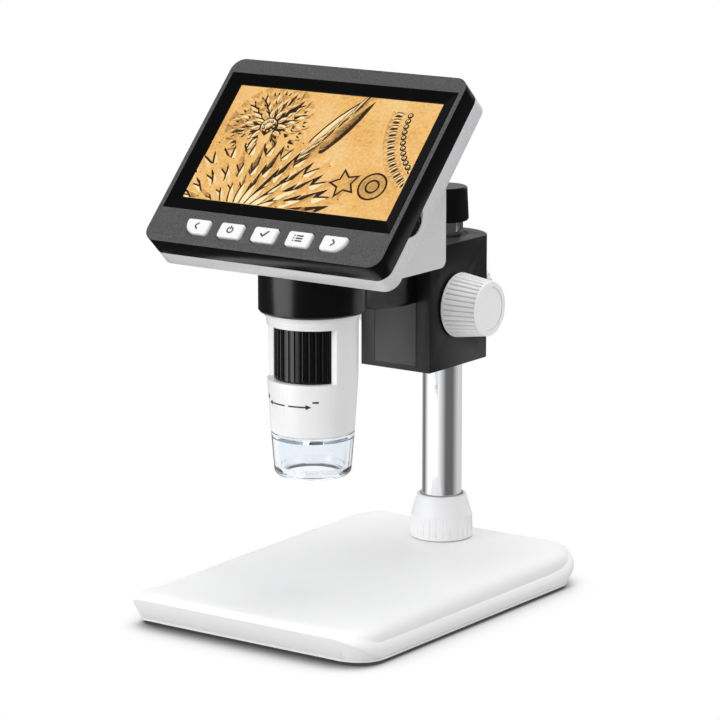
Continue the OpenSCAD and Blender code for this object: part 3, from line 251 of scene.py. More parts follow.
finishes = {
    # colour changes slowly to the other colour, with patches per metre; rough has a spread;
    # grain per metre has a depth in metres; coat, metal, shine, speckle and grooveShade (the reach
    # of painted shade that darkens grooves, in metres) only where they are given
    "baseWhite": {"colour": (0.945, 0.945, 0.945), "other": (0.925, 0.925, 0.925), "patch": 14,
                  "rough": 0.45, "spread": 0.05, "grain": 2600, "depth": 0.000004, "shine": 0.35},
    "caseWhite": {"colour": (0.72, 0.72, 0.73), "other": (0.68, 0.68, 0.695), "patch": 20,
                  "rough": 0.33, "spread": 0.06, "grain": 1700, "depth": 0.00001, "coat": 0.15,
                  "speckle": 0.16},
    "tubeWhite": {"colour": (0.90, 0.90, 0.905), "other": (0.88, 0.88, 0.89), "patch": 25,
                  "rough": 0.36, "spread": 0.05, "grain": 3400, "depth": 0.000008, "coat": 0.1},
    # the knobs' grooves carry painted shade
    "knobWhite": {"colour": (0.97, 0.97, 0.975), "other": (0.955, 0.955, 0.96), "patch": 30,
                  "rough": 0.34, "spread": 0.06, "grain": 3200, "depth": 0.000008, "coat": 0.1,
                  "grooveShade": 0.0009},
    "discWhite": {"colour": (0.98, 0.98, 0.99), "other": (0.96, 0.96, 0.975), "patch": 40,
                  "rough": 0.28, "spread": 0.05, "grain": 3000, "depth": 0.000005, "coat": 0.3},
    "keyWhite": {"colour": (0.81, 0.81, 0.815), "other": (0.79, 0.79, 0.795), "patch": 60,
                 "rough": 0.2, "spread": 0.04, "grain": 3000, "depth": 0.000003, "coat": 0.6},
    # the bezel's front: a real fine grain, with a grey that is a painted sheen on the black
    # plastic
    "bezelSheenGrey": {"colour": (0.068, 0.068, 0.07), "other": (0.085, 0.085, 0.087), "patch": 30,
                  "rough": 0.5, "spread": 0.1, "grain": 1600, "depth": 0.00004, "speckle": 0.75},
    "bezelSide": {"colour": (0.003, 0.003, 0.0032), "other": (0.006, 0.006, 0.0062), "patch": 30,
                  "rough": 0.24, "spread": 0.05, "grain": 2600, "depth": 0.000006, "shine": 0.2},
    "frameBlack": {"colour": (0.002, 0.002, 0.0022), "other": (0.004, 0.004, 0.0042), "patch": 25,
                   "rough": 0.16, "spread": 0.03, "grain": 2000, "depth": 0.000002, "shine": 0.35},
    "neckBlack": {"colour": (0.002, 0.002, 0.0022), "other": (0.004, 0.004, 0.0043), "patch": 30,
                  "rough": 0.24, "spread": 0.05, "grain": 3000, "depth": 0.000004, "shine": 0.5},
    "blockBlack": {"colour": (0.006, 0.006, 0.0065), "other": (0.011, 0.011, 0.0115), "patch": 30,
                   "rough": 0.38, "spread": 0.06, "grain": 2800, "depth": 0.000008, "shine": 0.4},
    # a paler copy of the black plastic, painted light for the faces the light falls on
    "paintedLightGrey": {"colour": (0.05, 0.05, 0.051), "other": (0.056, 0.056, 0.057), "patch": 30,
                 "rough": 0.4, "spread": 0.05, "grain": 2800, "depth": 0.000006, "shine": 0.5},
    "wheelBlack": {"colour": (0.002, 0.002, 0.0022), "other": (0.005, 0.005, 0.0055), "patch": 40,
                   "rough": 0.2, "spread": 0.05, "grain": 3000, "depth": 0.000004, "shine": 0.55},
    "innerDark": {"colour": (0.03, 0.03, 0.032), "other": (0.045, 0.045, 0.047), "patch": 60,
                  "rough": 0.55, "spread": 0.1, "grain": 2600, "depth": 0.00002, "coat": 0},
    "bushBlack": {"colour": (0.02, 0.02, 0.022), "other": (0.032, 0.03, 0.03), "patch": 80,
                  "rough": 0.45, "spread": 0.1, "grain": 2600, "depth": 0.00001, "coat": 0},
    "ivoryPlastic": {"colour": (0.72, 0.69, 0.6), "other": (0.66, 0.63, 0.54), "patch": 60,
                     "rough": 0.45, "spread": 0.08, "grain": 2600, "depth": 0.00001, "coat": 0},
    "markBlack": {"colour": (0.02, 0.02, 0.021), "other": (0.035, 0.035, 0.036), "patch": 200,
                  "rough": 0.5, "spread": 0.1, "grain": 4000, "depth": 0.000004, "coat": 0},
    "markGrey": {"colour": (0.05, 0.05, 0.052), "other": (0.07, 0.07, 0.072), "patch": 300,
                 "rough": 0.5, "spread": 0.1, "grain": 4000, "depth": 0.000003, "coat": 0},
    "chrome": {"colour": (0.88, 0.88, 0.89), "other": (0.84, 0.84, 0.86), "patch": 20,
               "rough": 0.09, "spread": 0.03, "grain": 1800, "depth": 0.000001, "metal": 1},
    "steel": {"colour": (0.5, 0.5, 0.5), "other": (0.4, 0.4, 0.41), "patch": 60,
              "rough": 0.32, "spread": 0.1, "grain": 2600, "depth": 0.000008, "metal": 1},
    "blackAlu": {"colour": (0.09, 0.09, 0.095), "other": (0.12, 0.12, 0.125), "patch": 60,
                 "rough": 0.35, "spread": 0.08, "grain": 3000, "depth": 0.000006, "metal": 1},
    "brass": {"colour": (0.62, 0.42, 0.18), "other": (0.5, 0.33, 0.14), "patch": 80,
              "rough": 0.3, "spread": 0.1, "grain": 2600, "depth": 0.000006, "metal": 1},
    "cast": {"colour": (0.4, 0.4, 0.41), "other": (0.3, 0.3, 0.31), "patch": 80,
             "rough": 0.5, "spread": 0.12, "grain": 1600, "depth": 0.00003, "metal": 1},
    "rubber": {"colour": (0.02, 0.02, 0.02), "other": (0.035, 0.035, 0.035), "patch": 60,
               "rough": 0.75, "spread": 0.1, "grain": 2200, "depth": 0.00003, "coat": 0},
    "foam": {"colour": (0.03, 0.03, 0.03), "other": (0.06, 0.06, 0.06), "patch": 400,
             "rough": 0.9, "spread": 0.05, "grain": 1400, "depth": 0.0001, "coat": 0},
    "boardGreen": {"colour": (0.02, 0.13, 0.05), "other": (0.03, 0.2, 0.08), "patch": 220,
                   "rough": 0.4, "spread": 0.1, "grain": 900, "depth": 0.00002, "coat": 0.2},
    "boardWhite": {"colour": (0.75, 0.75, 0.76), "other": (0.68, 0.68, 0.7), "patch": 220,
                   "rough": 0.4, "spread": 0.1, "grain": 900, "depth": 0.00002, "coat": 0.2},
    "chipBlack": {"colour": (0.02, 0.02, 0.021), "other": (0.035, 0.035, 0.035), "patch": 200,
                  "rough": 0.55, "spread": 0.1, "grain": 2600, "depth": 0.00002, "coat": 0},
    "cellBlue": {"colour": (0.06, 0.12, 0.32), "other": (0.08, 0.16, 0.38), "patch": 40,
                 "rough": 0.35, "spread": 0.1, "grain": 900, "depth": 0.00003, "coat": 0.3},
    "flexOrange": {"colour": (0.6, 0.28, 0.06), "other": (0.5, 0.22, 0.05), "patch": 150,
                   "rough": 0.4, "spread": 0.1, "grain": 1800, "depth": 0.00001, "coat": 0},
}

# what all finishes share
surface = {"coatRough": 0.08, "shine": 0.5, "patchDetail": 3, "grainDetail": 2,
           "speckleRange": (0.3, 0.7), "grooveShadeRange": (0.4, 0.8), "grooveShadeLevel": 0.55,
           "grooveShadeSamples": 8}


def makeFinish(name, look):
    # slow change of colour, uneven polish and a fine grain
    material = bpy.data.materials.new(name)
    material.use_nodes = True
    tree = material.node_tree
    place = coordinates(tree, "Object")
    patches = noise(tree, place, look["patch"], surface["patchDetail"])
    grain = noise(tree, place, look["grain"], surface["grainDetail"])
    colours = addNode(tree, "Mix", {
        "Factor": patches, "A": (*look["colour"], 1), "B": (*look["other"], 1)},
        data_type="RGBA")
    # fine specks in the colour, and painted shade that darkens grooves where light has little way
    # in
    speckle = look.get("speckle", 0) / 2
    level = mapped(tree, grain, surface["speckleRange"], (1 - speckle, 1 + speckle))
    painted = vectorMaths(tree, "SCALE", {0: colours.outputs["Result"], "Scale": level})
    if "grooveShade" in look:
        groove = mapped(tree, closeness(tree, look["grooveShade"], surface["grooveShadeSamples"]),
                        surface["grooveShadeRange"], (surface["grooveShadeLevel"], 1))
        painted = vectorMaths(tree, "SCALE", {0: painted, "Scale": groove})
    bump = addNode(tree, "Bump", {"Distance": look["depth"], "Height": grain})
    setInputs(tree.nodes["Principled BSDF"], {
        "Base Color": painted,
        "Metallic": look.get("metal", 0),
        "Coat Weight": look.get("coat", 0),
        "Coat Roughness": surface["coatRough"],
        "Specular IOR Level": look.get("shine", surface["shine"]),
        "Roughness": mapped(tree, grain, after=(look["rough"] - look["spread"],
                                                look["rough"] + look["spread"])),
        "Normal": bump.outputs["Normal"]})
    return material


finish = {name: makeFinish(name, look) for name, look in finishes.items()}

# moulded clear plastic with faint flow ripples
clearLook = {"colour": (0.92, 0.945, 0.975), "other": (0.88, 0.915, 0.955), "patch": 60,
             "rough": 0.03, "spread": 0.015, "grain": 260, "depth": 0.00001, "coat": 0,
             "ior": 1.46}
finish["clearPlastic"] = makeFinish("clearPlastic", clearLook)
setInputs(finish["clearPlastic"].node_tree.nodes["Principled BSDF"],
          {"Transmission Weight": 1, "IOR": clearLook["ior"]})

# lamp bodies in cool light
lampLook = {"colour": (0.9, 0.9, 0.8), "other": (0.85, 0.85, 0.7), "patch": 900,
            "rough": 0.25, "spread": 0.05, "grain": 1500, "depth": 0.000005, "coat": 0.3,
            "light": (0.75, 0.88, 1.0, 1), "strength": 4.0}
finish["lampGlow"] = makeFinish("lampGlow", lampLook)
setInputs(finish["lampGlow"].node_tree.nodes["Principled BSDF"],
          {"Emission Color": lampLook["light"], "Emission Strength": lampLook["strength"]})

finishOfNode = {
    "baseWhite": ["base_shell", "base_cover"],
    "knobWhite": ["knob_left", "knob_right", "lock_knob"],
    "discWhite": ["knob_discs"],
    "caseWhite": ["rear_cover"],
    "keyWhite": ["button_back", "button_power", "button_ok", "button_menu", "button_next"],
    "tubeWhite": ["tube_sleeve", "base_collar"],
    "bezelSheenGrey": ["front_bezel"],
    "frameBlack": ["window_frame"],
    "neckBlack": ["neck_housing", "pole_cap"],
    "blockBlack": ["block_body"],
    "wheelBlack": ["focus_wheel", "brightness_dial"],
    "innerDark": ["guide_tube", "sensor_holder", "dial_potentiometer", "tact_switches"],
    "bushBlack": ["slide_bushes"],
    "ivoryPlastic": ["collet", "brake_pad"],
    "chrome": ["pole"],
    "steel": ["ballast_plate", "base_screws", "pole_plug", "pole_bolt",
              "drive_shaft", "lcd_tray", "board_screws", "usb_port", "card_slot",
              "cover_screws", "neck_screws", "lens_pins"],
    "blackAlu": ["lens_barrel"],
    "brass": ["shaft_bushes"],
    "cast": ["pole_socket"],
    "rubber": ["base_feet", "drive_roller"],
    "foam": ["foam_pads"],
    "boardGreen": ["main_board", "button_board", "sensor_board"],
    "boardWhite": ["led_board"],
    "chipBlack": ["board_chips"],
    "cellBlue": ["battery"],
    "flexOrange": ["flex_cable"],
    "clearPlastic": ["clear_tip", "front_lens", "rear_lens", "image_sensor"],
    "lampGlow": ["leds"],
    "markBlack": ["lcd_panel"],
}
for finishName, nodeNames in finishOfNode.items():
    for nodeName in nodeNames:
        nodes[nodeName].data.materials.clear()
        nodes[nodeName].data.materials.append(finish[finishName])
print("finishes made")


# the base's rolled shell

baseShell = {
    "width": 110, "depth": 156, "bottom": 1.55, "cornerSteps": 12,
    "corners": {(-1, -1): 5, (1, -1): 12.5, (1, 1): 11, (-1, 1): 11},
    "rim": (6, 8), "roof": 13.3, "socketR": 10.9, "crossLines": range(-64, 65, 8),
    # rows from the foot up: height and half depth along the front and the back,
    # height and half width along the sides
    "rows": ((1.55, 73.1, 1.55, 54.75), (2.3, 73.45, 2.3, 54.8), (2.36, 73.47, 2.36, 54.3),
             (2.6, 73.6, 2.6, 54.3), (2.66, 73.63, 2.66, 54.9),
             (12.1, 77.9, 2.75, 54.93), (12.35, 77.97, 3.2, 55.0),
             (12.9, 77.72, 4.6, 55.0), (13.6, 77.3, 5.8, 54.85), (14.3, 76.85, 6.9, 54.45),
             (14.95, 76.4, 7.65, 53.95), (15.15, 76.15, 8.0, 53.62), (15.35, 75.6, 8.35, 53.6),
             (15.48, 74.9, 9.6, 53.55), (15.56, 74.2, 11.0, 53.35), (15.63, 73.5, 12.3, 52.9),
             (15.69, 72.7, 13.4, 52.1), (15.74, 71.9, 14.3, 50.9), (15.78, 71.0, 15.0, 49.2),
             (15.8, 70.0, 15.45, 47.2), (15.8, 68.8, 15.7, 44.8), (15.8, 67.5, 15.8, 42.0)),
    # the rows sweep from front to side over this length, and the top falls to the front
    "sweep": {(-1, -1): 15, (1, -1): 25, (1, 1): 25, (-1, 1): 25},
    "frontDrop": 1.9, "dropFrom": 40,
    "lead": 1, "fallPower": 1.6, "fallFrom": 8, "fallOver": 7.8, "roofPower": 1.2,
    "roofReach": 50, "footSlack": 0.05, "socketCut": 10, "socketZ": 15,
}


def sideShare(x, y):
    # 0 on the front and back, 1 on the sides, for a point of the full outline
    b = baseShell
    corner = (math.copysign(1, x), math.copysign(1, y))
    radius = b["corners"][corner]
    inX = b["width"] / 2 - radius
    inY = b["depth"] / 2 - radius
    if abs(y) > inY:
        way = radius * math.atan2(max(0, abs(x) - inX), abs(y) - inY)
    else:
        way = radius * math.pi / 2 + inY - abs(y)
    share = min(1, (way + b["lead"]) / b["sweep"][corner])
    return share * share * (3 - 2 * share)


def frontFall(y, power):
    # how far the top has fallen at this place, in mm
    b = baseShell
    fall = max(0, b["dropFrom"] - y / mm) / (b["dropFrom"] + b["depth"] / 2)
    return b["frontDrop"] * fall ** power


def makeBaseShell():
    b = baseShell
    rows = b["rows"]
    depth, width = b["depth"] / 2, b["width"] / 2
    deselectAll()
    bpy.ops.mesh.primitive_plane_add(size=1, location=(0, 0, 0))
    piece = bpy.context.object
    piece.scale = (b["width"] * mm, b["depth"] * mm, 1)
    settle(piece)
    for (sideX, sideY), radius in b["corners"].items():
        corner = Vector((sideX * width * mm, sideY * depth * mm, 0))
        selectPoints(piece, lambda c: (c - corner).length < touch)
        bpy.ops.mesh.bevel(offset=radius * mm, segments=b["cornerSteps"], affect="VERTICES")
        leaveEdit()
    for y in b["crossLines"]:
        cutThrough(piece, (0, y * mm, 0), (0, 1, 0))
    enterEdit(piece)
    bpy.ops.mesh.select_mode(type="FACE")
    bpy.ops.mesh.select_all(action="SELECT")
    # one step of a millimetre for each row, sized to its reach
    bpy.ops.transform.resize(value=(rows[0][3] / width, rows[0][1] / depth, 1),
                             center_override=(0, 0, 0))
    for (_, depth0, _, width0), (_, depth1, _, width1) in zip(rows, rows[1:]):
        bpy.ops.mesh.extrude_region_move(TRANSFORM_OT_translate={"value": (0, 0, mm)})
        bpy.ops.transform.resize(value=(width1 / width0, depth1 / depth0, 1),
                                 center_override=(0, 0, 0))
    leaveEdit()
    # each row takes its true heights
    for point in piece.data.vertices:
        row = rows[round(point.co.z / mm)]
        side = sideShare(point.co.x / mm * width / row[3], point.co.y / mm * depth / row[1])
        z = row[0] + (row[2] - row[0]) * side
        z -= (frontFall(point.co.y, b["fallPower"])
              * min(1, max(0, (z - b["fallFrom"]) / b["fallOver"])))
        point.co.z = z * mm
    # hollow it from below
    selectFaces(piece, lambda c, n: c.z < (b["bottom"] + b["footSlack"]) * mm
                and abs(n.z) > along)
    bpy.ops.mesh.inset(thickness=b["rim"][0] * mm)
    bpy.ops.transform.resize(
        value=(1, (depth - b["rim"][1]) / (rows[0][1] - b["rim"][0]), 1),
        center_override=(0, 0, b["bottom"] * mm))
    bpy.ops.mesh.extrude_region_move(
        TRANSFORM_OT_translate={"value": (0, 0, (b["roof"] - b["bottom"]) * mm)})
    leaveEdit()
    for point in piece.data.vertices:
        onRoof = abs(point.co.z - b["roof"] * mm) < touch
        if onRoof and abs(point.co.x) < b["roofReach"] * mm:
            point.co.z -= frontFall(point.co.y, b["roofPower"]) * mm
    turnOutwards(piece)
    # hole of the pole's socket
    deselectAll()
    bpy.ops.mesh.primitive_cylinder_add(
        vertices=64, radius=b["socketR"] * mm, depth=b["socketCut"] * mm,
        location=(0, poleY * mm, b["socketZ"] * mm))
    cutter = settle(bpy.context.object)
    applyModifier(piece, "BOOLEAN", object=cutter, operation="DIFFERENCE", solver="EXACT")
    bpy.data.objects.remove(cutter)
    return piece


shell = makeBaseShell()
shell.name = "baseShellRolled"
finishPiece(shell, "stand", finish["baseWhite"], angle=32)
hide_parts("base_shell")
print("base made")


# the picture on the display, in mm in the screen's plane

picture = {
    "width": 95.04, "height": 53.86, "grid": (24, 14), "floor": 0.02, "layer": 0.005,
    "line": 0.75, "bank": 0.6, "flat": 1 / 60,
    "gold": (0.87, 0.49, 0.145), "light": (1.0, 0.82, 0.47), "dark": (0.030, 0.009, 0.003),
    "rampStart": 0.1, "rampMiddle": 0.55, "glow": 0.98, "rough": 0.2,
    "off": (0.01, 0.01, 0.01, 1),
    # light from the left and above, and how far the slopes change the gold
    "lamp": (-0.62, 0.78), "gain": 470,
    # patches per metre and detail of the grain and the clouds, and how far they change it
    "grain": (900, 4), "clouds": (55, 3), "share": 0.5,
    # how light the flat gold of each material is
    "shades": {"pictureField": 0.35, "pictureForm": 0.25, "pictureLine": -0.5},
}


def reliefMaterial(name, shade):
    # a picture that glows: gold by the slope of its relief, with a fine hammered grain
    material = bpy.data.materials.new(name)
    material.use_nodes = True
    tree = material.node_tree
    place = coordinates(tree, "Object")
    up = Vector((0, math.cos(tilt), math.sin(tilt)))
    lamp = (Vector((picture["lamp"][0], 0, 0)) + up * picture["lamp"][1]) * picture["gain"]
    slope = vectorMaths(tree, "DOT_PRODUCT", {0: coordinates(tree, "Normal"), 1: lamp}, "Value")
    share = picture["share"]
    grain = maths(tree, "MULTIPLY_ADD", noise(tree, place, *picture["grain"]), share,
                  shade - share / 2)
    clouds = maths(tree, "MULTIPLY_ADD", noise(tree, place, *picture["clouds"]), share, grain)
    ramp = addNode(tree, "ValToRGB", {"Fac": maths(tree, "ADD", slope, clouds)})
    stops = ramp.color_ramp.elements
    stops[0].position = picture["rampStart"]
    stops[0].color = (*picture["dark"], 1)
    stops[1].color = (*picture["light"], 1)
    stops.new(picture["rampMiddle"]).color = (*picture["gold"], 1)
    setInputs(tree.nodes["Principled BSDF"], {
        "Base Color": picture["off"], "Roughness": picture["rough"],
        "Emission Color": ramp.outputs["Color"], "Emission Strength": picture["glow"]})
    return material


goldField, goldForm, darkLine = [reliefMaterial(name, shade)
                                 for name, shade in picture["shades"].items()]

forms = {
    # each form's corners and size, the height of its bank and of its middle, and how its ends
    # are drawn out (tip) or its every second corner drawn in (notch)
    "petal": {"sides": 18, "width": 15, "height": 5.4, "rise": 0.07, "crown": 0.09, "tip": 0.45},
    "leaf": {"sides": 20, "width": 25, "height": 7.6, "rise": 0.08, "crown": 0.1, "tip": 0.5},
    "stalk": {"sides": 24, "width": 46, "height": 11, "rise": 0.05, "crown": 0.045, "tip": 0.35},
    "vein": {"sides": 16, "width": 15, "height": 2.6, "rise": 0.03, "crown": 0.04, "tip": 0.7,
             "line": 0.5},
    "boss": {"sides": 20, "width": 8.5, "height": 8.5, "rise": 0.12, "crown": 0.16},
    "bead": {"sides": 12, "width": 2.6, "height": 2.6, "rise": 0.05, "crown": 0.08, "line": 0.5},
    "star": {"sides": 10, "width": 13, "height": 13, "notch": 0.5},
    "coin": {"sides": 24, "width": 11, "height": 11},
    "core": {"sides": 24, "width": 5.5, "height": 5.5},
    "tooth": {"sides": 14, "width": 6.4, "height": 2.5, "rise": 0.04, "crown": 0.06, "tip": 0.2,
              "line": 0.5},
}

layout = {
    "stalk": ((5, 9), 58),
    "veins": {"count": 6, "start": (-4, -4, 42), "step": (3.1, 5.4, 5), "size": 0.9},
    # rings and rows: count, reach and size of their petals or leaves
    "flower": {"centre": (-25, 9), "rings": ((19, 11.5, 1.05), (15, 8.0, 0.9), (11, 5.2, 0.7)),
               "beads": 9, "beadReach": 2.4, "beadSize": 0.6},
    "fan": {"centre": (-20, -34), "rows": ((13, 25, 1.15), (13, 17, 1.0), (11, 9.5, 0.85)),
            "start": 172, "sweep": 164, "widen": 4, "stretch": 1.25},
    "outlines": (("star", (21.5, -13), 20, 1.1), ("coin", (34.5, -13), 0, 1.15),
                 ("core", (34.5, -13), 0, 1.15)),
    "rim": {"centre": (68, 20), "count": 22, "start": 180, "step": 4.6, "teeth": 37,
            "beads": 32},
}


def reliefShape(name, sides, width, height, rise=0, crown=0, tip=0, notch=1,
                line=picture["line"]):
    # an outlined form, lying in the screen's plane and centred, raised where it has a rise
    deselectAll()
    bpy.ops.mesh.primitive_circle_add(vertices=sides, radius=0.5, fill_type="NGON")
    piece = bpy.context.object
    piece.name = name
    for material in (darkLine, goldForm):
        piece.data.materials.append(material)
    piece.scale = (width, height, 1)
    settle(piece)
    for k, point in enumerate(piece.data.vertices):
        share = abs(point.co.x) / (width / 2)
        point.co.y *= 1 - tip * share ** 2
        point.co *= notch if k % 2 else 1
    bpy.ops.object.mode_set(mode="EDIT")
    bpy.ops.mesh.select_mode(type="FACE")
    bpy.ops.mesh.select_all(action="SELECT")
    bpy.ops.mesh.inset(thickness=line)
    bpy.context.object.active_material_index = 1
    bpy.ops.object.material_slot_assign()
    if rise:
        flat = picture["flat"]
        bpy.ops.mesh.inset(thickness=line * picture["bank"], depth=rise * flat)
        bpy.ops.mesh.inset(thickness=line, depth=crown * flat)
        bpy.ops.mesh.poke(offset=crown * flat)
    leaveEdit()
    return piece


def stamp(shape, spot, turn, size, layer):
    # a copy of a form with its own mesh, placed on the picture
    copy = shape.copy()
    copy.data = shape.data.copy()
    bpy.context.scene.collection.objects.link(copy)
    copy.data.transform(
        Matrix.Translation((*spot, picture["floor"] + picture["layer"] * layer))
        @ Matrix.Rotation(math.radians(turn), 4, "Z")
        @ Matrix.Diagonal((size, size, 1, 1)))
    return copy


def onCircle(centre, reach, turn, stretch=1.0):
    angle = math.radians(turn)
    return (centre[0] + stretch * reach * math.cos(angle), centre[1] + reach * math.sin(angle))


def makePicture():
    deselectAll()
    bpy.ops.mesh.primitive_grid_add(
        x_subdivisions=picture["grid"][0], y_subdivisions=picture["grid"][1], size=1,
        location=(0, 0, picture["floor"] / 2))
    field = bpy.context.object
    field.scale = (picture["width"], picture["height"], 1)
    settle(field)
    field.data.materials.append(goldField)
    parts = [field]
    shapes = {name: reliefShape(name, **form) for name, form in forms.items()}

    def place(name, spot, turn=0, size=1.0):
        # each copy lies a hair over the one before
        parts.append(stamp(shapes[name], spot, turn, size, len(parts)))

    # a broad leaf stalk that rises to the top edge, with veins along it
    place("stalk", *layout["stalk"])
    veins = layout["veins"]
    for i in range(veins["count"]):
        x, u, turn = [start + step * i for start, step in zip(veins["start"], veins["step"])]
        place("vein", (x, u), turn, veins["size"])
    # a large flower at the left, rings of petals round a boss
    flower = layout["flower"]
    for ring, (count, reach, size) in enumerate(flower["rings"]):
        for i in range(count):
            turn = 360 * (i + 0.5 * ring) / count
            place("petal", onCircle(flower["centre"], reach, turn), turn, size)
    place("boss", flower["centre"])
    for i in range(flower["beads"]):
        turn = 360 / flower["beads"] * i
        place("bead", onCircle(flower["centre"], flower["beadReach"], turn), 0,
              flower["beadSize"])
    # overlapping leaves in fans along the lower left
    fan = layout["fan"]
    for row, (count, reach, size) in enumerate(fan["rows"]):
        for i in range(count):
            sweep = fan["sweep"] + fan["widen"] * row
            turn = fan["start"] - sweep * (i + 0.5 * (row % 2)) / count
            place("leaf", onCircle(fan["centre"], reach, turn, fan["stretch"]), turn, size)
    # a star and a ring at the lower right, only outlined
    for outline in layout["outlines"]:
        place(*outline)
    # the edge of a coin with teeth, at the upper right
    rim = layout["rim"]
    for i in range(rim["count"]):
        turn = rim["start"] + rim["step"] * i
        place("tooth", onCircle(rim["centre"], rim["teeth"], turn), turn)
        place("bead", onCircle(rim["centre"], rim["beads"], turn))
    for shape in shapes.values():
        bpy.data.objects.remove(shape)
    piece = joined(parts, "screenPicture")
    # trim what reaches past the display
    for axis, half in ((0, picture["width"] / 2), (1, picture["height"] / 2)):
        for side in (-1, 1):
            normal = [0, 0, 0]
            normal[axis] = side
            cutThrough(piece, [half * n for n in normal], normal, clear_outer=True)
    piece.data.transform(screenPlace)
    return piece


screenPicture = makePicture()
finishPiece(screenPicture, "head", None, angle=60)
print("picture made")


# symbols printed on the keys, in mm in the screen's plane

symbols = {
    "pitch": 15.9, "rowU": -40.83, "topN": 3.2, "thick": 0.05, "line": 0.62, "round": 0.45,
    "arcSteps": 14, "arcFoot": 0.02,
    "chevron": {"apart": 0.72, "length": 2.1, "turn": 45},
    "power": {"radius": 1.25, "start": 120, "sweep": 300, "barUp": 1.1, "barLength": 1.7},
    # short and long bar of the check mark: place, length and turn
    "check": ((-1.0, -0.35, 1.9, -45), (0.75, 0.2, 3.6, 50)), "checkLine": 1.15,
    # long and short bars of the menu: place and length
    "menu": ((0.5, 3.2), (-2.0, 0.7)), "menuRows": (-1.15, 0, 1.15),
}


def bar(x, u, length, width, turn):
    # a flat bar with round ends
    thick = symbols["thick"]
    piece = makeBlock((length, width, thick), (x, u, symbols["topN"] + thick / 2), turn)
    selectEdges(piece, lambda a, b: abs(a.z - b.z) > 0.5 * thick)
    bpy.ops.mesh.bevel(offset=width * symbols["round"], segments=3)
    leaveEdit()
    return piece


def arcBar(x, u, radius, width, start, sweep):
    # a bar bent into an arc
    steps, thick = symbols["arcSteps"], symbols["thick"]
    piece = makeBlock((width, symbols["arcFoot"], thick), (radius, 0, 0))
    selectFaces(piece, lambda c, n: n.y > along)
    for step in range(steps):
        bpy.ops.mesh.extrude_region_move()
        bpy.ops.transform.rotate(value=-math.radians(sweep / steps), orient_axis="Z",
                                 center_override=(0, 0, 0))
    leaveEdit()
    piece.data.transform(Matrix.Translation((x, u, symbols["topN"] + thick / 2))
                         @ Matrix.Rotation(math.radians(start), 4, "Z"))
    return piece


def chevron(x, u, side):
    look = symbols["chevron"]
    return [bar(x, u + way * look["apart"], look["length"], symbols["line"],
                way * side * look["turn"]) for way in (1, -1)]


def makeSymbols():
    u, pitch, line = symbols["rowU"], symbols["pitch"], symbols["line"]
    power = symbols["power"]
    marks = {
        "key_back": chevron(-2 * pitch, u, 1),
        "key_power": [arcBar(-pitch, u, power["radius"], line, power["start"], power["sweep"]),
                      bar(-pitch, u + power["barUp"], power["barLength"], line, 90)],
        "key_ok": [bar(x, u + up, length, line * symbols["checkLine"], turn)
                   for x, up, length, turn in symbols["check"]],
        "key_menu": [bar(pitch + x, u + up, length, line, 0)
                     for x, length in symbols["menu"] for up in symbols["menuRows"]],
        "key_next": chevron(2 * pitch, u, -1),
    }
    for body, parts in marks.items():
        piece = joined(parts, body.replace("key_", "symbol_"))
        piece.data.transform(screenPlace)
        finishPiece(piece, body, finish["markGrey"])


makeSymbols()
print("symbols made")


# arrows and signs printed on the tube

tubeMarks = {
    "z": 88.9, "thick": 0.06, "lift": 0.01, "radius": 16.965, "slope": 0.0668, "line": 0.28,
    "headHalf": 1.0, "headTip": 0.05, "tipReach": 0.01, "arrowSteps": 10, "signUp": 1.55,
    # line from and to, and the head's tip and back, in degrees round the tube
    "arrows": ((-119, -93, -125, -118), (-87, -62, -56, -63)),
    # signs: from and to in degrees, foot and head in mm, steps
    "signs": ((-54, -46, 0, 0.65, 3), (-133, -126, 0, 0.65, 3), (-130.5, -128.5, -0.72, 1.37, 2)),
}


def onTube(piece):
    # wraps a flat piece, X along the arc and Y up, round the tube; its X is in degrees
    for point in piece.data.vertices:
        radius = (tubeMarks["radius"] + (point.co.y - tubeMarks["z"]) * tubeMarks["slope"]
                  + point.co.z)
        angle = math.radians(point.co.x)
        z = point.co.y
        point.co = Vector((radius * math.cos(angle) * mm,
                           (tubeY + radius * math.sin(angle)) * mm, z * mm))
    return piece


def flatMark(start, end, low, high):
    thick = tubeMarks["thick"]
    return makeBlock((abs(end - start), high - low, thick),
                     ((start + end) / 2, (low + high) / 2, thick / 2 + tubeMarks["lift"]))


def tubeStrip(start, end, low, high, steps):
    piece = flatMark(start, end, low, high)
    for i in range(1, steps):
        cutThrough(piece, (start + (end - start) * i / steps, 0, 0), (1, 0, 0))
    return onTube(piece)


def arrowHead(tip, back, z):
    half = tubeMarks["headHalf"]
    piece = flatMark(tip, back, z - half, z + half)
    for point in piece.data.vertices:
        if abs(point.co.x - tip) < tubeMarks["tipReach"]:
            point.co.y = z + (point.co.y - z) * tubeMarks["headTip"]
    return onTube(piece)


def makeTubeMarks():
    z, line = tubeMarks["z"], tubeMarks["line"]
    sign = z + tubeMarks["signUp"]
    parts = []
    for start, end, tip, back in tubeMarks["arrows"]:
        parts.append(tubeStrip(start, end, z - line, z + line, tubeMarks["arrowSteps"]))
        parts.append(arrowHead(tip, back, z))
    for start, end, low, high, steps in tubeMarks["signs"]:
        parts.append(tubeStrip(start, end, sign + low, sign + high, steps))
    piece = joined(parts, "tubeMarks")
    turnOutwards(piece)
    return piece


finishPiece(makeTubeMarks(), "head", finish["markBlack"])
print("tube marks made")


# moulded parts with rounded edges: piece, body, slot, finish, radius in mm and steps

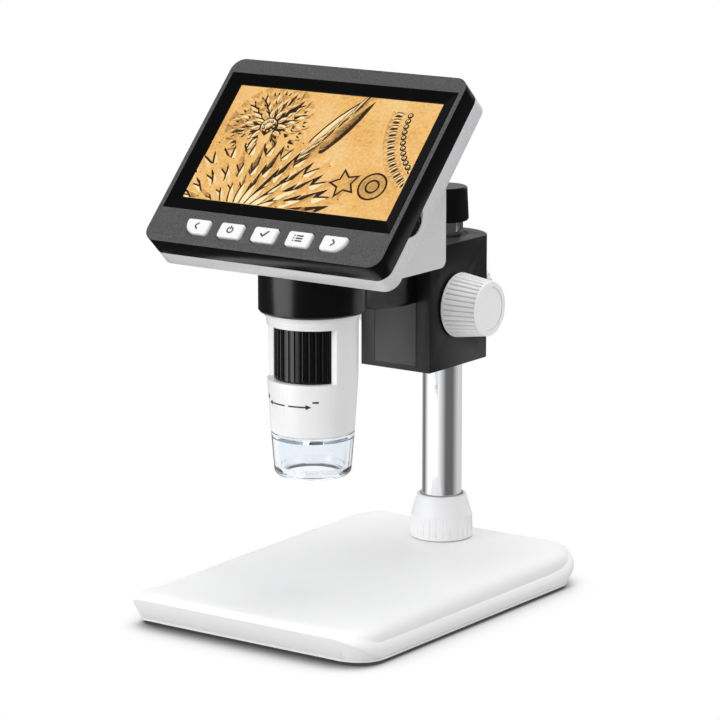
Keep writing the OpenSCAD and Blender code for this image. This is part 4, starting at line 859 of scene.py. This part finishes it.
rounded = {
    "front_bezel": ("bezelRounded", "head", "grey_satin", "bezelSheenGrey", 0.4, 2),
    "rear_cover": ("rearCoverRounded", "head", "white_gloss", "caseWhite", 0.7, 3),
    "block_body": ("bracketRounded", "bracket", "black_satin", "blockBlack", 0.4, 2),
    "neck_housing": ("neckRounded", "head", "black_satin", "neckBlack", 0.35, 2),
    "tube_sleeve": ("sleeveRounded", "head", "white_gloss", "tubeWhite", 0.3, 2),
    "button_back": ("keyBack", "key_back", "white_gloss", "keyWhite", 0.35, 3),
    "button_power": ("keyPower", "key_power", "white_gloss", "keyWhite", 0.35, 3),
    "button_ok": ("keyOk", "key_ok", "white_gloss", "keyWhite", 0.35, 3),
    "button_menu": ("keyMenu", "key_menu", "white_gloss", "keyWhite", 0.35, 3),
    "button_next": ("keyNext", "key_next", "white_gloss", "keyWhite", 0.35, 3),
}
rounding = {"angle": 35, "bezelFront": 0.985, "flat": 0.95, "tailFrom": 5, "leastArea": 60}

for nodeName, (pieceName, body, slotName, finishName, radius, steps) in rounded.items():
    piece = copyNode(nodeName, pieceName)
    applyModifier(piece, "BEVEL", width=radius * mm, segments=steps, limit_method="ANGLE",
                  angle_limit=math.radians(rounding["angle"]), use_clamp_overlap=True)
    finishPiece(piece, body, finish[finishName])
    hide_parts(nodeName)
    if nodeName == "front_bezel":
        # only the front face has the fine grain, and its grey is a painted sheen standing in for
        # the light that face reflects; the sides keep the black
        piece.data.materials.append(finish["bezelSide"])
        out = Vector((0, -math.sin(tilt), math.cos(tilt)))
        for f in piece.data.polygons:
            f.material_index = 0 if f.normal.dot(out) > rounding["bezelFront"] else 1
    if nodeName in ("neck_housing", "block_body"):
        # painted light: the flat front of the tail plate and the bracket's top take a paler grey
        # copy of the black, standing in for the light that falls on them
        piece.data.materials.append(finish["paintedLightGrey"])
        for f in piece.data.polygons:
            if nodeName == "block_body":
                paintedLit = f.normal.z > rounding["flat"]
            else:
                paintedLit = (f.normal.y < -rounding["flat"]
                           and f.center.y > rounding["tailFrom"] * mm)
            if paintedLit and f.area > rounding["leastArea"] * mm * mm:
                f.material_index = 1
print("moulded parts rounded")


# ribbed knobs of the height drive

knobs = {"start": 17.1, "length": 15.2, "shaftY": 42.2, "shaftZ": 115.6, "inner": 13,
         "outer": 10.9, "ribs": 36, "perRib": 4, "groove": 0.55, "disc": 8.65, "sink": 1.1,
         "shoulder": 0.8, "edge": 0.6, "edgeSteps": 4, "edgeSlack": 0.3, "discSlack": 0.2,
         "ends": (1.2, 1.0)}


def makeKnob(side):
    k = knobs
    deselectAll()
    bpy.ops.mesh.primitive_cone_add(vertices=k["ribs"] * k["perRib"], radius1=k["inner"] * mm,
                                    radius2=k["outer"] * mm, depth=k["length"] * mm,
                                    location=(0, 0, k["length"] / 2 * mm))
    piece = settle(bpy.context.object)
    length = k["length"] * mm
    # seat of the disc in its free end
    selectFaces(piece, lambda c, n: n.z > along)
    bpy.ops.mesh.inset(thickness=(k["outer"] - k["disc"]) * mm)
    bpy.ops.mesh.extrude_region_move(
        TRANSFORM_OT_translate={"value": (0, 0, -k["sink"] * mm)})
    leaveEdit()
    for height, radius, offset in ((0, k["inner"], k["shoulder"]),
                                   (length, k["outer"], k["edge"])):
        least = (radius - k["edgeSlack"]) * mm
        selectEdges(piece, lambda a, b: all(
            abs(end.z - height) < touch and end.xy.length > least for end in (a, b)))
        bpy.ops.mesh.bevel(offset=offset * mm, segments=k["edgeSteps"])
        leaveEdit()
    # rings where the ribs start and end, then a groove between each two ribs
    low, high = k["ends"][0] * mm, length - k["ends"][1] * mm
    for height in (low, high):
        cutThrough(piece, (0, 0, height), (0, 0, 1))
    step = 360 / (k["ribs"] * k["perRib"])
    for point in piece.data.vertices:
        turn = round(math.degrees(math.atan2(point.co.y, point.co.x)) / step)
        if low - touch < point.co.z < high + touch and turn % k["perRib"] == 0:
            radius = point.co.xy.length
            if radius > (k["disc"] + k["discSlack"]) * mm:
                point.co.xy *= (radius - k["groove"] * mm) / radius
    piece.data.transform(
        Matrix.Translation((side * k["start"] * mm, k["shaftY"] * mm, k["shaftZ"] * mm))
        @ Matrix.Rotation(math.radians(side * 90), 4, "Y"))
    return piece


for side, nodeName in ((1, "knob_right"), (-1, "knob_left")):
    knob = makeKnob(side)
    knob.name = "ribbedKnob"
    finishPiece(knob, "drive", finish["knobWhite"], angle=25)
    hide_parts(nodeName)
print("knobs made")


# floor, world and lamps

studio = {
    "floorSize": 12, "floorShade": 0.58, "floorMirror": 0.06, "shadowReach": 0.03,
    "shadowRange": (0.2, 0.9), "shadowDepth": 0.06, "shadowSamples": 16,
    "ambient": 0.62, "wallRange": (0.25, 0.6), "wallSides": (0.3, 0.8), "wallGlow": 0.5,
    "roomGlow": 0.04, "white": (1, 1, 1, 1),
    "key": {"place": (-0.7, -2.35, 1.1), "size": 1.7, "power": 34},
    "top": {"place": (0.0, 0.2, 1.3), "size": 1.1, "power": 8.5},
    "fill": {"place": (1.3, -0.2, 0.75), "size": 0.9, "power": 2},
    "aim": (0, 0, 0.1),
    # soft boxes that only reflections see: heading from the camera's side, distance, width,
    # foot, head, brightness
    "boxes": ((-61, 0.25, 0.17, 0.02, 0.26, 2.5), (107, 0.25, 0.15, 0.0, 0.105, 0.6)),
    # soft strips of light round the pole, by heading: the wall behind, a bright one at the
    # left and a dim one at the right
    "ring": {"radius": 0.12, "foot": 0.0, "head": 0.066,
             "stops": ((-180, 0.5), (-120, 0.15), (-80, 1.4), (-40, 1.4), (20, 0.15),
                       (60, 0.15), (100, 0.7), (140, 0.7), (180, 0.5))},
}
cameraSide = math.radians(view["turn"][2] - 90)


def stageMaterial(name, makeShader):
    material = bpy.data.materials.new(name)
    material.use_nodes = True
    tree = material.node_tree
    tree.nodes.clear()
    addNode(tree, "OutputMaterial", {"Surface": makeShader(tree)})
    return material


def seenRays(tree):
    # the kinds of ray, and 1 for what is seen straight, mirrored or through clear plastic
    path = addNode(tree, "LightPath", {}).outputs
    seen = maths(tree, "MAXIMUM", path["Is Camera Ray"], path["Is Glossy Ray"])
    return path, maths(tree, "MAXIMUM", seen, path["Is Transmission Ray"])


def floorShader(tree):
    path, seen = seenRays(tree)
    # reflections find a dim floor
    gloss = maths(tree, "SUBTRACT", path["Is Glossy Ray"], path["Is Transmission Ray"],
                  clamp=True)
    mirrored = mapped(tree, gloss, after=(1, studio["floorMirror"]))
    # the white paper darkens where the object stands close over it
    shadow = mapped(tree, closeness(tree, studio["shadowReach"], studio["shadowSamples"]),
                    studio["shadowRange"], (studio["shadowDepth"], 1), "SMOOTHSTEP")
    glow = emission(tree, studio["white"], maths(tree, "MULTIPLY", shadow, mirrored))
    shade = addNode(tree, "BsdfDiffuse", {"Color": (*[studio["floorShade"]] * 3, 1)})
    return addNode(tree, "MixShader", {0: seen, 1: shade.outputs[0], 2: glow}).outputs[0]


def makeFloor():
    deselectAll()
    bpy.ops.mesh.primitive_plane_add(size=studio["floorSize"], location=(0, 0, 0))
    floor = bpy.context.object
    floor.name = "floor"
    floor.data.materials.append(stageMaterial("floorPaper", floorShader))


def makeWorld():
    world = bpy.data.worlds.new("studioWorld")
    bpy.context.scene.world = world
    world.use_nodes = True
    tree = world.node_tree
    tree.nodes.clear()
    path, seen = seenRays(tree)
    # reflections find a bright band behind the object and a dim room elsewhere
    way = coordinates(tree, "Generated")
    height = addNode(tree, "SeparateXYZ", {0: way}).outputs["Z"]
    low = mapped(tree, height, studio["wallRange"], (1, 0), "SMOOTHSTEP")
    turn = math.radians(view["turn"][2])
    ahead = vectorMaths(tree, "DOT_PRODUCT", {0: way, 1: (-math.sin(turn), math.cos(turn), 0)},
                        "Value")
    behind = mapped(tree, ahead, studio["wallSides"], (0, 1), "SMOOTHSTEP")
    wall = mapped(tree, maths(tree, "MULTIPLY", low, behind),
                  after=(studio["roomGlow"], studio["wallGlow"]))
    # panes and clear plastic look into the white room
    clear = maths(tree, "MAXIMUM", wall, path["Is Transmission Ray"])
    shown = maths(tree, "MAXIMUM", maths(tree, "MULTIPLY", seen, clear), path["Is Camera Ray"])
    hidden = mapped(tree, seen, after=(studio["ambient"], 0))
    back = addNode(tree, "Background", {"Color": studio["white"],
                                        "Strength": maths(tree, "ADD", shown, hidden)})
    addNode(tree, "OutputWorld", {"Surface": back.outputs[0]})


def makeLight(name, look):
    deselectAll()
    aim = Vector(studio["aim"]) - Vector(look["place"])
    bpy.ops.object.light_add(type="AREA", location=look["place"],
                             rotation=aim.to_track_quat("-Z", "Y").to_euler())
    light = bpy.context.object
    light.name = name
    light.data.size = look["size"]
    light.data.energy = look["power"]
    light.visible_glossy = False


def onlyMirrored(piece):
    piece.visible_camera = False
    piece.visible_diffuse = False
    piece.visible_transmission = False
    piece.visible_shadow = False


def makeBoxes():
    for heading, distance, width, foot, head, strength in studio["boxes"]:
        angle = cameraSide + math.radians(heading)
        deselectAll()
        bpy.ops.mesh.primitive_plane_add(
            size=1, rotation=(math.radians(90), 0, angle + math.radians(90)),
            location=(distance * math.cos(angle), distance * math.sin(angle),
                      (foot + head) / 2))
        box = bpy.context.object
        box.name = "softBox"
        box.scale = (width, head - foot, 1)
        box.data.materials.append(stageMaterial(
            "softBox", lambda tree: emission(tree, studio["white"], strength)))
        onlyMirrored(box)


def ringShader(tree):
    # bright and dark strips, as the room gives chrome, on the inner side only
    place = addNode(tree, "SeparateXYZ", {0: coordinates(tree, "Object")}).outputs
    share = mapped(tree, maths(tree, "ARCTAN2", place["Y"], place["X"]), (-math.pi, math.pi))
    strips = addNode(tree, "ValToRGB", {"Fac": share})
    stops = studio["ring"]["stops"]
    ends = {0: 0, len(stops) - 1: -1}
    elements = strips.color_ramp.elements
    for n, (heading, level) in enumerate(stops):
        stop = elements[ends[n]] if n in ends else elements.new((heading + 180) / 360)
        stop.color = (level, level, level, 1)
    glow = emission(tree, strips.outputs["Color"], 1)
    through = addNode(tree, "BsdfTransparent", {})
    facing = addNode(tree, "NewGeometry", {})
    side = addNode(tree, "MixShader", {0: facing.outputs["Backfacing"],
                                       1: through.outputs[0], 2: glow})
    return side.outputs[0]


def makeRing():
    ring = studio["ring"]
    deselectAll()
    bpy.ops.mesh.primitive_cylinder_add(
        vertices=64, radius=ring["radius"], depth=ring["head"] - ring["foot"],
        end_fill_type="NOTHING", location=(0, poleY * mm, (ring["foot"] + ring["head"]) / 2),
        rotation=(0, 0, cameraSide))
    screen = bpy.context.object
    screen.name = "roundScreen"
    screen.data.materials.append(stageMaterial("ringPaper", ringShader))
    onlyMirrored(screen)


makeFloor()
makeBoxes()
makeRing()
makeWorld()
for lightName in ("key", "top", "fill"):
    makeLight(lightName, studio[lightName])
bpy.context.scene.view_settings.view_transform = "Standard"
print("studio made")
